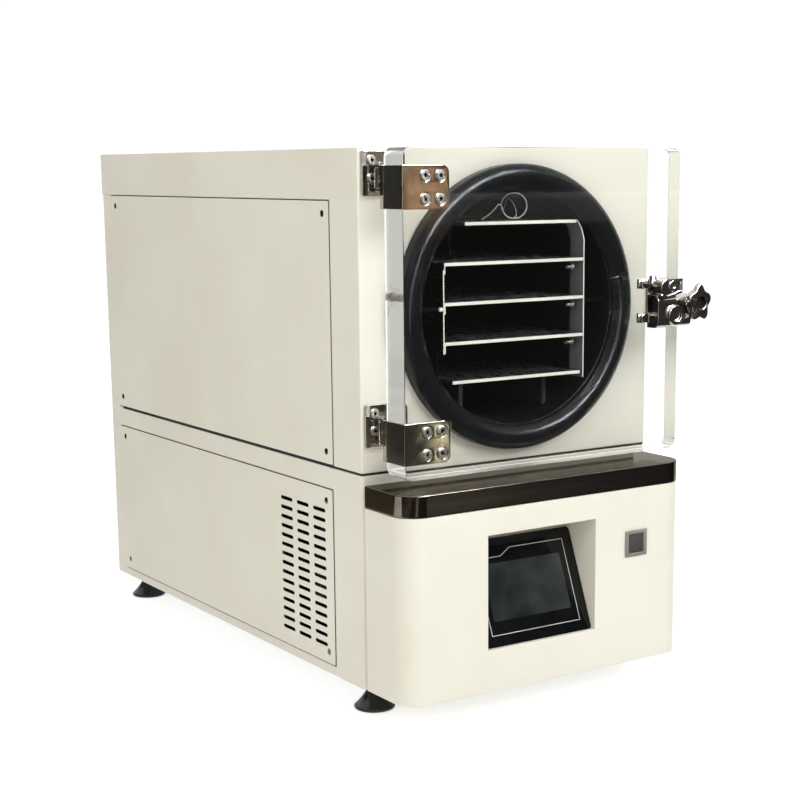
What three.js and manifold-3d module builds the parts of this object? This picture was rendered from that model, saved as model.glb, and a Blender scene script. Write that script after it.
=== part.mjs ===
// Freeze dryer on levelling feet: a steel cabinet with a round vacuum chamber behind a thick clear
// door, a shelf rack inside, a control fascia with a tilted touch panel, and the refrigeration plant
// below. Millimetres, +Z up, the front faces -Y, the floor is Z = 0.
import * as THREE from 'three';
import { mergeVertices } from 'three/addons/utils/BufferGeometryUtils.js';
import Module from 'manifold-3d';

const wasm = await Module();
wasm.setup();

// ---------------------------------------------------------------- driving dimensions
const clearance = 0.3;      // gap between two pieces that touch
const sheet = 2;            // casing sheet

const foot = { baseRadius: 31, lip: 5, height: 46, neckRadius: 8, studRadius: 6, inset: 43, stud: 18 };

const cabinet = {
  width: 530, depth: 935, edgeRadius: 6, lowerHeight: 330, seam: 4, hoodHeight: 474, hoodOverhang: 5,
  hoodEdge: 3, rearColumn: 39, topBand: 75, flange: 25, lip: 12,
};

const upperPanel = { front: 82, screwInset: 20 };
const lowerPanel = { front: 85, rear: 42, bottom: 15.5, top: 297, screwInset: 20 };
const panel = { thickness: 1.7, gap: 1.5, screwRadius: 4.5, screwHeight: 1.6 };
const louvre = {
  rows: 15, columns: 3, length: 38.5, height: 6, pitchY: 52.3, pitchZ: 15.3, front: 24, bottom: 27,
};
const rearPanel = { width: 447, bottom: 22, slots: 11, slotLength: 200, slotHeight: 7, slotPitch: 18 };

const fascia = {
  overhang: 1.5, front: 123, back: 9, corner: 38, bottom: 2, height: 282, wall: 2, neckInset: 14,
};
const trayCap = { height: 33.5, wall: 2.5 };
const recess = { left: -122.5, width: 204.5, bottom: 67.7, height: 176.2, footDepth: 15, wall: 2 };
const touchPanel = {
  width: 192, height: 162.7, tilt: 21.75, bezel: 5, bodyDepth: 32, corner: 8, margin: 11,
  screenWidth: 154, screenHeight: 86.6, screenShift: 1.6, screenBottom: 36, glass: 2,
};
const powerSwitch = { x: 162.6, z: 196, width: 44, height: 42, button: 30, rim: 2.8, depth: 16, travel: 3 };

const chamber = {
  innerRadius: 178, wall: 3, depth: 520, endPlate: 8, centre: 568, flangeRadius: 208,
  flangeFront: 13, portRadius: 11, segments: 56,
};
const gasket = { outerRadius: 217, front: 28.2, innerRadius: 179.5 };
const coil = { tubeRadius: 3.2, turns: 5, front: 60, rear: 460, stepsPerTurn: 24 };
const jacket = { thickness: 32, front: 12, rear: 12, segments: 36 };
const saddle = { thickness: 16, halfWidth: 150, height: 92, front: 70, rear: 440, segments: 36 };

const rack = {
  front: 6, length: 460, pitch: 59, middle: 11, shelfThickness: 5, plate: 2,
  leftBottom: -63.5, leftTop: 62, rightBottom: -116, rightTop: 100, flange: 14.5,
  left: -133, right: 129, lowestLeft: -119, lowestRight: 124, topLeft: -95.5, topRight: 115,
  postInset: 60,
};
const runner = { x: 80, width: 8, inset: 30, length: 400 };
const standoff = { radius: 3.5, height: 4, y: 6 };
const lead = { radius: 1.3, loopRadius: 19.5, turns: 2.25, turned: 0.6, x: 24, y: 34 };

const door = { inset: 26.5, overhang: 17, thickness: 50, back: 28.5, aboveTray: 13, top: 808, corner: 14 };
const hinge = {
  upper: 752, lower: 385, leafHeight: 62, leafLength: 80, leafThickness: 4, frontThickness: 5.2,
  corner: 11, sideBack: 24.5, axisInset: 27, axisY: -14.5, barrelRadius: 6.5, barrelLow: -1,
  barrelHigh: 27, neck: 4, lug: 5, pinRadius: 3.6, baseInset: 5, baseWidth: 60, baseThickness: 6,
  baseLow: -12.5, baseHigh: 51.5, baseCorner: 6,
};
const hingeScrew = { radius: 8.7, height: 3.2, socket: 3.4, first: 39, pitchX: 26, pitchZ: 33 };
const baseScrew = { radius: 8.2, height: 1.4, fromEdge: 15.5, low: 12.5, high: 38.5 };

const latch = {
  outboard: 9, z: 563.5, depth: 33, left: 65, lugEnd: 20, lugLow: 14, lugWaist: 20.5, lugTop: 43.5,
  bodyLow: -34, bodyTop: 18, bodyDepth: 27, bodyRound: 11, bodyEnd: 4, bossRadius: 17, bushInset: 31.5,
  bushZ: -14, bushRadius: 15.5, spindleRadius: 7, hookLength: 21, hookWidth: 14, hookThickness: 8,
};
const latchEar = { reach: 22, thickness: 5, height: 15, upper: 35.5, lower: -18, boltRadius: 7, bolt: 6 };
const knob = { halfWidth: 24, halfHeight: 31, thickness: 12, lobes: 5, cup: 10, cupDepth: 6 };
const keeper = { flange: 17, flangeFront: 10, thickness: 5, leaf: 40, halfHeight: 33 };

const compressor = { radius: 88, height: 205, x: -120, y: 330, base: 3 };
const condenser = { width: 270, height: 235, depth: 46, fins: 18, x: 0, rear: 62, legs: 6 };
const fan = { shroud: 236, ring: 108, depth: 36, bladeRadius: 102, hubRadius: 30, blades: 5, shaft: 3 };
const drain = { fromEdge: 73.5, z: 352, tube: 9, length: 52, lever: 54, deckHole: 135 };
const inlet = { fromEdge: 55.5, z: 120, width: 58, height: 46, depth: 30 };
const port = { radius: 14, flange: 20, out: 24 };
const controlBox = { width: 240, height: 170, depth: 90, bottom: 70 };
const drainOutlet = { x: 70, z: -140, radius: 5 };
const pipe = { radius: 4, sides: 6, hole: 16, sweep: 32, bend: 30, entry: 40, leadIn: 140 };

// ---------------------------------------------------------------- levels worked out from them
const halfWidth = cabinet.width / 2;
const floorOfCasing = foot.height;
const seamLow = floorOfCasing + cabinet.lowerHeight;
const seamHigh = seamLow + cabinet.seam;
const topOfHood = seamHigh + cabinet.hoodHeight;
const bandBottom = topOfHood - cabinet.topBand;
const hoodDepth = cabinet.depth + cabinet.hoodOverhang;
const columnFront = cabinet.depth - cabinet.rearColumn;
const panTop = floorOfCasing + sheet + clearance + sheet;
const deckBottom = seamLow - sheet;
const chamberZ = floorOfCasing + chamber.centre;
const drumRadius = chamber.innerRadius + chamber.wall;
// the chords of the wound tube stay clear of the drum, and the jacket's flats clear of the tube
const coilRadius = (drumRadius + coil.tubeRadius + clearance) / Math.cos(Math.PI / coil.stepsPerTurn);
const jacketInner = (coilRadius + coil.tubeRadius + clearance) / Math.cos(Math.PI / jacket.segments);
const jacketOuter = jacketInner + jacket.thickness;
const trayBottom = floorOfCasing + fascia.bottom + fascia.height + clearance;
const doorBottom = trayBottom + trayCap.height + door.aboveTray;
const doorFront = -door.back - door.thickness;
const doorLeft = -halfWidth + door.inset;
const doorRight = halfWidth + door.overhang;
const hingeX = -halfWidth + hinge.axisInset;
const hingeBaseLeft = -halfWidth + hinge.baseInset;
const spindleX = doorRight + latch.outboard;
const drainX = rearPanel.width / 2 - drain.fromEdge;
const inletX = -rearPanel.width / 2 + inlet.fromEdge;
const drumRear = chamber.depth + chamber.endPlate;
const riserX = compressor.x + compressor.radius - 28;

// ---------------------------------------------------------------- solids from three.js shapes
function solidOf(geometry) {
  const bare = geometry.index ? geometry.toNonIndexed() : geometry.clone();
  bare.deleteAttribute('normal');
  bare.deleteAttribute('uv');
  const merged = mergeVertices(bare, 1e-4);
  const vertProperties = new Float32Array(merged.attributes.position.array);
  const triVerts = withoutSlivers(merged.index.array);
  if (signedVolume(vertProperties, triVerts) < 0) {
    triVerts.reverse();
  }
  return new wasm.Manifold(new wasm.Mesh({ numProp: 3, vertProperties, triVerts }));
}

// drops triangles whose corners fell together, as at the pole of a lathe
function withoutSlivers(index) {
  const kept = [];
  for (let i = 0; i < index.length; i += 3) {
    const [a, b, c] = [index[i], index[i + 1], index[i + 2]];
    if (a !== b && b !== c && c !== a) {
      kept.push(a, b, c);
    }
  }
  return new Uint32Array(kept);
}

function signedVolume(positions, triangles) {
  const corner = [new THREE.Vector3(), new THREE.Vector3(), new THREE.Vector3()];
  let sum = 0;
  for (let i = 0; i < triangles.length; i += 3) {
    corner.forEach((v, k) => v.fromArray(positions, 3 * triangles[i + k]));
    sum += corner[0].dot(corner[1].clone().cross(corner[2]));
  }
  return sum / 6;
}

function geometryOf(solid) {
  const mesh = solid.getMesh();
  const geometry = new THREE.BufferGeometry();
  const positions = new Float32Array(mesh.numVert * 3);
  for (let i = 0; i < mesh.numVert; i += 1) {
    for (let k = 0; k < 3; k += 1) {
      positions[3 * i + k] = mesh.vertProperties[mesh.numProp * i + k];
    }
  }
  geometry.setAttribute('position', new THREE.BufferAttribute(positions, 3));
  geometry.setIndex(new THREE.BufferAttribute(new Uint32Array(mesh.triVerts), 1));
  geometry.computeVertexNormals();
  return geometry;
}

function join(...solids) {
  return solids.flat().reduce((sum, next) => sum.add(next));
}

function cut(body, ...tools) {
  return tools.flat().reduce((rest, tool) => rest.subtract(tool), body);
}

// box between two corners
function box(x0, x1, y0, y1, z0, z1) {
  const geometry = new THREE.BoxGeometry(x1 - x0, y1 - y0, z1 - z0);
  geometry.translate((x0 + x1) / 2, (y0 + y1) / 2, (z0 + z1) / 2);
  return solidOf(geometry);
}

// an outline in X and Y, raised from z0 to z1
function raised(shape, z0, z1, curveSegments = 6) {
  const options = { depth: z1 - z0, bevelEnabled: false, curveSegments };
  const geometry = new THREE.ExtrudeGeometry(shape, options);
  geometry.translate(0, 0, z0);
  return solidOf(geometry);
}

// an outline in X and Z, carried from y0 to y1
function frontal(shape, y0, y1, curveSegments = 6) {
  const options = { depth: y1 - y0, bevelEnabled: false, curveSegments };
  const geometry = new THREE.ExtrudeGeometry(shape, options);
  geometry.rotateX(Math.PI / 2);
  geometry.translate(0, y1, 0);
  return solidOf(geometry);
}

// an outline in Y and Z, carried from x0 to x1
function sideways(shape, x0, x1, curveSegments = 6) {
  const options = { depth: x1 - x0, bevelEnabled: false, curveSegments };
  const geometry = new THREE.ExtrudeGeometry(shape, options);
  const turn = new THREE.Matrix4().makeBasis(
    new THREE.Vector3(0, 1, 0), new THREE.Vector3(0, 0, 1), new THREE.Vector3(1, 0, 0),
  );
  geometry.applyMatrix4(turn);
  geometry.translate(x0, 0, 0);
  return solidOf(geometry);
}

// cylinder about an axis 'x', 'y' or 'z', from one end to the other
function rod(axis, radius, from, to, a = 0, b = 0, segments = 20) {
  const geometry = new THREE.CylinderGeometry(radius, radius, to - from, segments);
  const middle = (from + to) / 2;
  if (axis === 'x') {
    geometry.rotateZ(Math.PI / 2);
    geometry.translate(middle, a, b);
  } else if (axis === 'y') {
    geometry.translate(a, middle, b);
  } else {
    geometry.rotateX(Math.PI / 2);
    geometry.translate(a, b, middle);
  }
  return solidOf(geometry);
}

// profile of [radius, height] pairs turned about the Y axis
function turnedAboutY(profile, segments) {
  const points = profile.map(([r, y]) => new THREE.Vector2(r, y));
  return solidOf(new THREE.LatheGeometry(points, segments));
}

// the same about the Z axis
function turnedAboutZ(profile, segments) {
  const points = profile.map(([r, z]) => new THREE.Vector2(r, z));
  const geometry = new THREE.LatheGeometry(points, segments);
  geometry.rotateX(Math.PI / 2);
  return solidOf(geometry);
}

function polygon(points) {
  return new THREE.Shape(points.map(([a, b]) => new THREE.Vector2(a, b)));
}

// rectangle with its own radius at each corner: lower left, lower right, upper right, upper left
function roundedRectangle(x0, x1, y0, y1, radii) {
  const [ll, lr, ur, ul] = Array.isArray(radii) ? radii : [radii, radii, radii, radii];
  const shape = new THREE.Shape();
  const right = 0;
  const up = Math.PI / 2;
  shape.moveTo(x0 + ll, y0);
  shape.lineTo(x1 - lr, y0);
  if (lr > 0) {
    shape.absarc(x1 - lr, y0 + lr, lr, -up, right, false);
  }
  shape.lineTo(x1, y1 - ur);
  if (ur > 0) {
    shape.absarc(x1 - ur, y1 - ur, ur, right, up, false);
  }
  shape.lineTo(x0 + ul, y1);
  if (ul > 0) {
    shape.absarc(x0 + ul, y1 - ul, ul, up, 2 * up, false);
  }
  shape.lineTo(x0, y0 + ll);
  if (ll > 0) {
    shape.absarc(x0 + ll, y0 + ll, ll, 2 * up, 3 * up, false);
  }
  return shape;
}

// tube along a smooth line through points
function tube(points, radius, steps, sides = pipe.sides) {
  const section = new THREE.Shape();
  for (let i = 0; i < sides; i += 1) {
    const angle = (2 * Math.PI * i) / sides;
    const place = [radius * Math.cos(angle), radius * Math.sin(angle)];
    if (i === 0) {
      section.moveTo(...place);
    } else {
      section.lineTo(...place);
    }
  }
  section.closePath();
  const path = new THREE.CatmullRomCurve3(points.map((p) => new THREE.Vector3(...p)), false, 'centripetal');
  return solidOf(new THREE.ExtrudeGeometry(section, { steps, extrudePath: path, bevelEnabled: false }));
}

// ---------------------------------------------------------------- finishes
function finish(color, roughness, metalness, extra = {}) {
  return () => new THREE.MeshStandardMaterial({ color, roughness, metalness, ...extra });
}

const ivoryPaint = finish(0xe6e2d3, 0.55, 0);
const mirrorSteel = finish(0x8f8c88, 0.16, 1);
const brushedSteel = finish(0xb4b4b2, 0.35, 1);
const blackRubber = finish(0x101114, 0.28, 0);
const blackPlastic = finish(0x16171a, 0.3, 0);
const clearAcrylic = finish(0xf4f8f8, 0.03, 0, { transparent: true, opacity: 0.25 });
const darkGlass = finish(0x23272a, 0.1, 0);
const greyPlastic = finish(0x8b8a84, 0.5, 0);
const aluminium = finish(0xc9c9c6, 0.38, 1);
const zincSteel = finish(0x9ea3a6, 0.42, 1);
const copper = finish(0xb56a40, 0.3, 1);
const foam = finish(0x1b1b1c, 0.95, 0);
const whitePlastic = finish(0xe9e9e4, 0.5, 0);

function piece(name, solid, material) {
  const mesh = new THREE.Mesh(geometryOf(solid), material);
  mesh.name = name;
  return mesh;
}

function assembly(...children) {
  const group = new THREE.Group();
  group.add(...children.flat());
  return group;
}

// ---------------------------------------------------------------- casing
// plan of a casing: a thin wall all round with rounded front corners
function wallInPlan(rear, radius, z0, z1) {
  const outer = raised(roundedRectangle(-halfWidth, halfWidth, 0, rear, [radius, radius, 0, 0]), z0, z1, 4);
  const inner = Math.max(radius - sheet, 0.5);
  const hollow = roundedRectangle(
    -halfWidth + sheet, halfWidth - sheet, sheet, rear - sheet, [inner, inner, 0, 0],
  );
  return cut(outer, raised(hollow, z0 - 1, z1 + 1, 4));
}

// seat behind a side window: a strip along one edge of the opening
function sideSeats(side, y0, y1, z0, z1) {
  const face = side * (halfWidth - sheet);
  const back = side * (halfWidth - 2 * sheet);
  return box(Math.min(face, back), Math.max(face, back), y0, y1, z0, z1);
}

function bothSides(make) {
  return [-1, 1].map(make);
}

function lowerCabinet() {
  const windowRear = cabinet.depth - lowerPanel.rear;
  const windowBottom = floorOfCasing + lowerPanel.bottom;
  const windowTop = floorOfCasing + lowerPanel.top;
  const reach = cabinet.lip;
  const grip = sheet;
  let wall = wallInPlan(cabinet.depth, cabinet.edgeRadius, floorOfCasing, bandBottom - clearance);
  // above the seam only the two rear columns go on
  const keepOut = halfWidth + 1;
  wall = cut(wall, box(-keepOut, keepOut, -1, columnFront, seamLow, topOfHood));
  // side windows, rear window between the columns and the cable hole behind the fascia
  wall = cut(wall, box(-keepOut, keepOut, lowerPanel.front, windowRear, windowBottom, windowTop));
  const rearHalf = rearPanel.width / 2 + panel.gap;
  const rearBottom = floorOfCasing + rearPanel.bottom - panel.gap;
  wall = cut(wall, box(-rearHalf, rearHalf, cabinet.depth - 10, cabinet.depth + 1, rearBottom, topOfHood));
  const cableHole = box(-60, 60, -1, sheet + 1, windowBottom + 60, windowBottom + 140);
  wall = cut(wall, cableHole);
  const inside = halfWidth - sheet;
  const bottomRing = cut(
    box(-inside, inside, sheet, cabinet.depth - sheet, floorOfCasing, floorOfCasing + sheet),
    box(
      -inside + cabinet.flange, inside - cabinet.flange, sheet + cabinet.flange,
      cabinet.depth - sheet - cabinet.flange, floorOfCasing - 1, floorOfCasing + sheet + 1,
    ),
    footHoles(foot.studRadius + 2.5, floorOfCasing - 1, floorOfCasing + sheet + 1),
  );
  const deckSeat = deckBottom - clearance - sheet;
  const topRing = cut(
    box(-inside, inside, sheet, cabinet.depth - sheet, deckSeat, deckSeat + sheet),
    box(
      -inside + cabinet.flange, inside - cabinet.flange, sheet + cabinet.flange,
      cabinet.depth - sheet - cabinet.flange, deckSeat - 1, deckSeat + sheet + 1,
    ),
  );
  const seats = bothSides((side) => [
    sideSeats(
      side, lowerPanel.front - grip, lowerPanel.front + reach, windowBottom - grip, windowTop + grip,
    ),
    sideSeats(side, windowRear - reach, windowRear + grip, windowBottom - grip, windowTop + grip),
    sideSeats(side, lowerPanel.front, windowRear, windowBottom - grip, windowBottom + reach),
    sideSeats(side, lowerPanel.front, windowRear, windowTop - reach, windowTop + grip),
    sideSeats(side, columnFront - reach, cabinet.depth - sheet, deckSeat + sheet, bandBottom - clearance),
  ]);
  const rearFace = cabinet.depth - sheet;
  const rearSeats = bothSides((side) => {
    const edges = [side * (rearHalf - reach), side * (rearHalf + grip)].sort((a, b) => a - b);
    return box(edges[0], edges[1], rearFace - sheet, rearFace, rearBottom - grip, bandBottom - clearance);
  });
  return piece('lower_cabinet', join(wall, bottomRing, topRing, seats.flat(), rearSeats), ivoryPaint());
}

function footPlaces() {
  const x = halfWidth - foot.inset;
  const rear = cabinet.depth - foot.inset;
  return [[-x, foot.inset], [x, foot.inset], [-x, rear], [x, rear]];
}

function footHoles(radius, z0, z1) {
  return footPlaces().map(([x, y]) => rod('z', radius, z0, z1, x, y, 16));
}

function upperHood() {
  const windowTop = bandBottom;
  const reach = cabinet.lip;
  const keepOut = halfWidth + 1;
  let wall = wallInPlan(hoodDepth, cabinet.hoodEdge, seamHigh, topOfHood - sheet);
  const roof = raised(
    roundedRectangle(-halfWidth, halfWidth, 0, hoodDepth, [cabinet.hoodEdge, cabinet.hoodEdge, 0, 0]),
    topOfHood - sheet, topOfHood, 4,
  );
  wall = join(wall, roof);
  wall = cut(wall, box(-keepOut, keepOut, upperPanel.front, hoodDepth + 1, seamHigh - 1, windowTop));
  wall = cut(wall, rod('y', drumRadius + 2 * clearance, -1, sheet + 1, 0, chamberZ, chamber.segments));
  const seats = bothSides((side) => [
    sideSeats(side, upperPanel.front - sheet, upperPanel.front + reach, seamHigh, windowTop + sheet),
    sideSeats(
      side, upperPanel.front, columnFront - reach - clearance, windowTop - reach, windowTop + sheet,
    ),
  ]);
  return piece('upper_hood', join(wall, seats.flat()), ivoryPaint());
}

// black strip that closes the seam between the two casings, set back from their faces
function seamStrip() {
  const back = 1.5;
  const outer = box(
    -halfWidth + back, halfWidth - back, back, columnFront - cabinet.lip - clearance,
    seamLow + clearance, seamHigh - clearance,
  );
  const inner = box(
    -halfWidth + back + 8, halfWidth - back - 8, back + 8, columnFront + 1, seamLow - 1, seamHigh + 1,
  );
  return piece('seam_strip', cut(outer, inner), blackRubber());
}

function screwHead(side, y, z) {
  const face = halfWidth - 0.1;
  const ends = [side * face, side * (halfWidth + panel.screwHeight)].sort((a, b) => a - b);
  return rod('x', panel.screwRadius, ends[0], ends[1], y, z, 12);
}

function sidePlate(side, y0, y1, z0, z1, inset) {
  const outer = halfWidth;
  const inner = halfWidth - panel.thickness;
  const xs = [side * inner, side * outer].sort((a, b) => a - b);
  const plate = box(xs[0], xs[1], y0 + panel.gap, y1 - panel.gap, z0 + panel.gap, z1 - panel.gap);
  const heads = [];
  for (const y of [y0 + inset, y1 - inset]) {
    for (const z of [z0 + inset, z1 - inset]) {
      heads.push(screwHead(side, y, z));
    }
  }
  return join(plate, heads);
}

function upperSidePanel(name, side) {
  const plate = sidePlate(side, upperPanel.front, columnFront, seamHigh, bandBottom, upperPanel.screwInset);
  return piece(name, plate, ivoryPaint());
}

function lowerSidePanel(name, side) {
  const rear = cabinet.depth - lowerPanel.rear;
  const bottom = floorOfCasing + lowerPanel.bottom;
  const top = floorOfCasing + lowerPanel.top;
  const plate = sidePlate(side, lowerPanel.front, rear, bottom, top, lowerPanel.screwInset);
  const slots = [];
  for (let column = 0; column < louvre.columns; column += 1) {
    for (let row = 0; row < louvre.rows; row += 1) {
      const y = lowerPanel.front + louvre.front + column * louvre.pitchY;
      const z = bottom + louvre.bottom + row * louvre.pitchZ;
      const xs = [side * (halfWidth - 5), side * (halfWidth + 5)].sort((a, b) => a - b);
      slots.push(box(xs[0], xs[1], y, y + louvre.length, z, z + louvre.height));
    }
  }
  return piece(name, cut(plate, slots), ivoryPaint());
}

function rearPanelPiece() {
  const half = rearPanel.width / 2;
  const bottom = floorOfCasing + rearPanel.bottom;
  const top = bandBottom - clearance - panel.gap;
  const outer = cabinet.depth;
  let plate = box(-half, half, outer - panel.thickness, outer, bottom, top);
  for (let i = 0; i < rearPanel.slots; i += 1) {
    const z = fanCentreZ() + (i - (rearPanel.slots - 1) / 2) * rearPanel.slotPitch;
    const h = rearPanel.slotHeight / 2;
    const l = rearPanel.slotLength / 2;
    plate = cut(plate, box(condenser.x - l, condenser.x + l, outer - 5, outer + 5, z - h, z + h));
  }
  plate = cut(
    plate,
    rod('y', port.radius + 2 * clearance, outer - 5, outer + 5, 0, chamberZ, 24),
    rod('y', drain.tube + clearance, outer - 5, outer + 5, drainX, floorOfCasing + drain.z, 20),
    inletBody(clearance, outer - 5, outer + 5),
  );
  const heads = [];
  for (const x of [-half + 10, half - 10]) {
    for (const z of [bottom + 20, (bottom + top) / 2, top - 20]) {
      heads.push(rod('y', panel.screwRadius, outer - 0.1, outer + panel.screwHeight, x, z, 12));
    }
  }
  return piece('rear_panel', join(plate, heads), ivoryPaint());
}

// plate that fits inside the casing wall, one sheet thick
function plateInside(rear, z0) {
  const inside = halfWidth - sheet - clearance;
  const radius = cabinet.edgeRadius - sheet;
  const outline = roundedRectangle(-inside, inside, sheet + clearance, rear, [radius, radius, 0, 0]);
  return raised(outline, z0, z0 + sheet, 4);
}

function basePan() {
  const z0 = floorOfCasing + sheet + clearance;
  const plate = plateInside(cabinet.depth - sheet - clearance, z0);
  const nuts = footPlaces().map(([x, y]) => rod('z', foot.studRadius + 5, z0, z0 + 12, x, y, 6));
  const bores = footHoles(foot.studRadius + clearance, z0 - 1, z0 + 20);
  return piece('base_pan', cut(join(plate, nuts), bores), zincSteel());
}

function midDeck() {
  const plate = plateInside(cabinet.depth - 2 * sheet - clearance, deckBottom);
  // the seats behind the rear columns come up past the deck
  const notches = bothSides((side) => {
    const xs = [side * (halfWidth - 2 * sheet - clearance), side * halfWidth].sort((a, b) => a - b);
    const front = columnFront - cabinet.lip - clearance;
    return box(xs[0], xs[1], front, cabinet.depth, deckBottom - 1, seamLow + 1);
  });
  const riserY = drumRear + pipe.sweep;
  const wellY = cabinet.depth - drain.deckHole;
  const pipeHole = rod('z', pipe.hole, deckBottom - 1, seamLow + 1, riserX, riserY, 20);
  const drainHole = rod('z', pipe.hole, deckBottom - 1, seamLow + 1, drainX, wellY, 20);
  return piece('mid_deck', cut(plate, notches, pipeHole, drainHole), zincSteel());
}

function levellingFoot(name, x, y) {
  const top = foot.height + sheet + clearance + foot.stud;
  const profile = [
    [0, 0], [foot.baseRadius - 1.5, 0], [foot.baseRadius, 1.5], [foot.baseRadius, foot.lip - 1.5],
    [foot.baseRadius - 2, foot.lip], [foot.baseRadius * 0.55, foot.lip + 5],
    [foot.neckRadius + 3, foot.lip + 13], [foot.neckRadius, foot.lip + 20],
    [foot.neckRadius, foot.height - 12], [foot.studRadius + 4, foot.height - 11.9],
    [foot.studRadius + 4, foot.height - clearance], [foot.studRadius, foot.height - clearance],
    [foot.studRadius, top], [0, top],
  ];
  const mesh = piece(name, turnedAboutZ(profile, 24), blackPlastic());
  mesh.position.set(x, y, 0);
  return mesh;
}

function levellingFeet() {
  const names = ['front_left', 'front_right', 'rear_left', 'rear_right'];
  return footPlaces().map(([x, y], i) => levellingFoot(`levelling_foot_${names[i]}`, x, y));
}

// ---------------------------------------------------------------- fascia and controls
function fasciaPlan(inset, rear, radius) {
  const half = halfWidth + fascia.overhang - inset;
  return roundedRectangle(-half, half, -fascia.front + inset, rear, [radius, radius, 0, 0]);
}

// profile of the recess seen from the side, grown outward by a wall
function recessProfile(grow) {
  const slope = Math.tan(THREE.MathUtils.degToRad(touchPanel.tilt));
  const bottom = floorOfCasing + recess.bottom - grow;
  const top = floorOfCasing + recess.bottom + recess.height + grow;
  const front = -fascia.front - (grow > 0 ? 0 : 1);
  const back = -fascia.front + recess.footDepth + touchPanel.bezel + 1 + grow;
  const lean = (top - bottom) * slope;
  return polygon([[front, bottom], [back, bottom], [back + lean, top], [front, top]]);
}

function controlFascia() {
  const z0 = floorOfCasing + fascia.bottom;
  const z1 = z0 + fascia.height;
  const wall = fascia.wall;
  const shell = cut(
    raised(fasciaPlan(0, -fascia.back, fascia.corner), z0, z1, 8),
    raised(fasciaPlan(wall, -fascia.back + 1, fascia.corner - wall), z0 + wall, z1 + 1, 8),
  );
  const neckHalf = halfWidth + fascia.overhang - fascia.neckInset;
  const neck = cut(
    box(-neckHalf, neckHalf, -fascia.back - 12, -clearance, z0, z1 - 12),
    box(-neckHalf + wall, neckHalf - wall, -fascia.back - 13, 1, z0 + wall, z1 - 12 - wall),
  );
  // flange that ties the neck to the outer shell
  const half = halfWidth + fascia.overhang - wall / 2;
  const tie = cut(
    box(-half, half, -fascia.back - wall, -fascia.back, z0 + wall / 2, z1 - 1),
    box(-neckHalf + wall, neckHalf - wall, -fascia.back - wall - 1, 1, z0 + wall, z1 - 12 - wall),
  );
  const x0 = recess.left;
  const x1 = recess.left + recess.width;
  const tub = sideways(recessProfile(recess.wall), x0 - recess.wall, x1 + recess.wall);
  const hollow = sideways(recessProfile(0), x0, x1);
  const bodyWindow = touchPanelBlock(touchPanel.margin - 1.5, -2 * recess.wall, touchPanel.bodyDepth);
  const switchHole = box(
    powerSwitch.x - powerSwitch.button / 2 - 3, powerSwitch.x + powerSwitch.button / 2 + 3,
    -fascia.front - 1, -fascia.front + wall + 1,
    floorOfCasing + powerSwitch.z - powerSwitch.button / 2 - 3,
    floorOfCasing + powerSwitch.z + powerSwitch.button / 2 + 3,
  );
  const housing = cut(join(shell, neck, tie, tub), hollow, bodyWindow, switchHole);
  return piece('control_fascia', housing, ivoryPaint());
}

// where the touch panel's frame stands: foot of the bezel, leaning back
function touchPanelPlace(group) {
  const slope = THREE.MathUtils.degToRad(touchPanel.tilt);
  group.position.set(
    recess.left + recess.width - touchPanel.width / 2,
    -fascia.front + recess.footDepth + touchPanel.bezel + 1,
    floorOfCasing + recess.bottom,
  );
  group.rotation.x = -slope;
  return group;
}

// block of the panel's body in the cabinet's frame, for the window behind it
function touchPanelBlock(inset, from, to) {
  const geometry = new THREE.BoxGeometry(
    touchPanel.width - 2 * inset, to - from, touchPanel.height - 2 * inset,
  );
  geometry.translate(0, (from + to) / 2, touchPanel.height / 2 + panelLift());
  const group = touchPanelPlace(new THREE.Group());
  group.updateMatrix();
  geometry.applyMatrix4(group.matrix);
  return solidOf(geometry);
}

// the bezel starts a little above the recess floor, so that its lower edge clears it
function panelLift() {
  return 2.5;
}

function touchPanelPieces() {
  const half = touchPanel.width / 2 - 0.6;
  const lift = panelLift();
  const frontFace = -clearance - touchPanel.bezel;
  const outline = roundedRectangle(-half, half, lift, lift + touchPanel.height, touchPanel.corner);
  const bezel = frontal(outline, frontFace, -clearance, 3);
  const inner = half - touchPanel.margin;
  const body = box(
    -inner, inner, -clearance - 0.5, touchPanel.bodyDepth - 2,
    lift + touchPanel.margin, lift + touchPanel.height - touchPanel.margin,
  );
  const sx = touchPanel.screenShift;
  const sw = touchPanel.screenWidth / 2;
  const sb = lift + touchPanel.screenBottom;
  const st = sb + touchPanel.screenHeight;
  const pocket = box(sx - sw, sx + sw, frontFace - 1, frontFace + touchPanel.glass + clearance, sb, st);
  const frame = piece('touch_panel_body', cut(join(bezel, body), pocket), blackPlastic());
  const glass = box(
    sx - sw + clearance, sx + sw - clearance, frontFace + clearance / 2, frontFace + touchPanel.glass,
    sb + clearance, st - clearance,
  );
  const screen = piece('touch_screen', glass, darkGlass());
  return touchPanelPlace(assembly(frame, screen));
}

function trayCapPiece() {
  const z1 = trayBottom + trayCap.height;
  const outer = raised(fasciaPlan(-0.4, -fascia.back, fascia.corner + 0.4), trayBottom, z1, 8);
  const inner = raised(
    fasciaPlan(trayCap.wall, -fascia.back - trayCap.wall, fascia.corner - trayCap.wall),
    trayBottom - 1, z1 - trayCap.wall, 8,
  );
  return piece('steel_tray_cap', cut(outer, inner), mirrorSteel());
}

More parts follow.
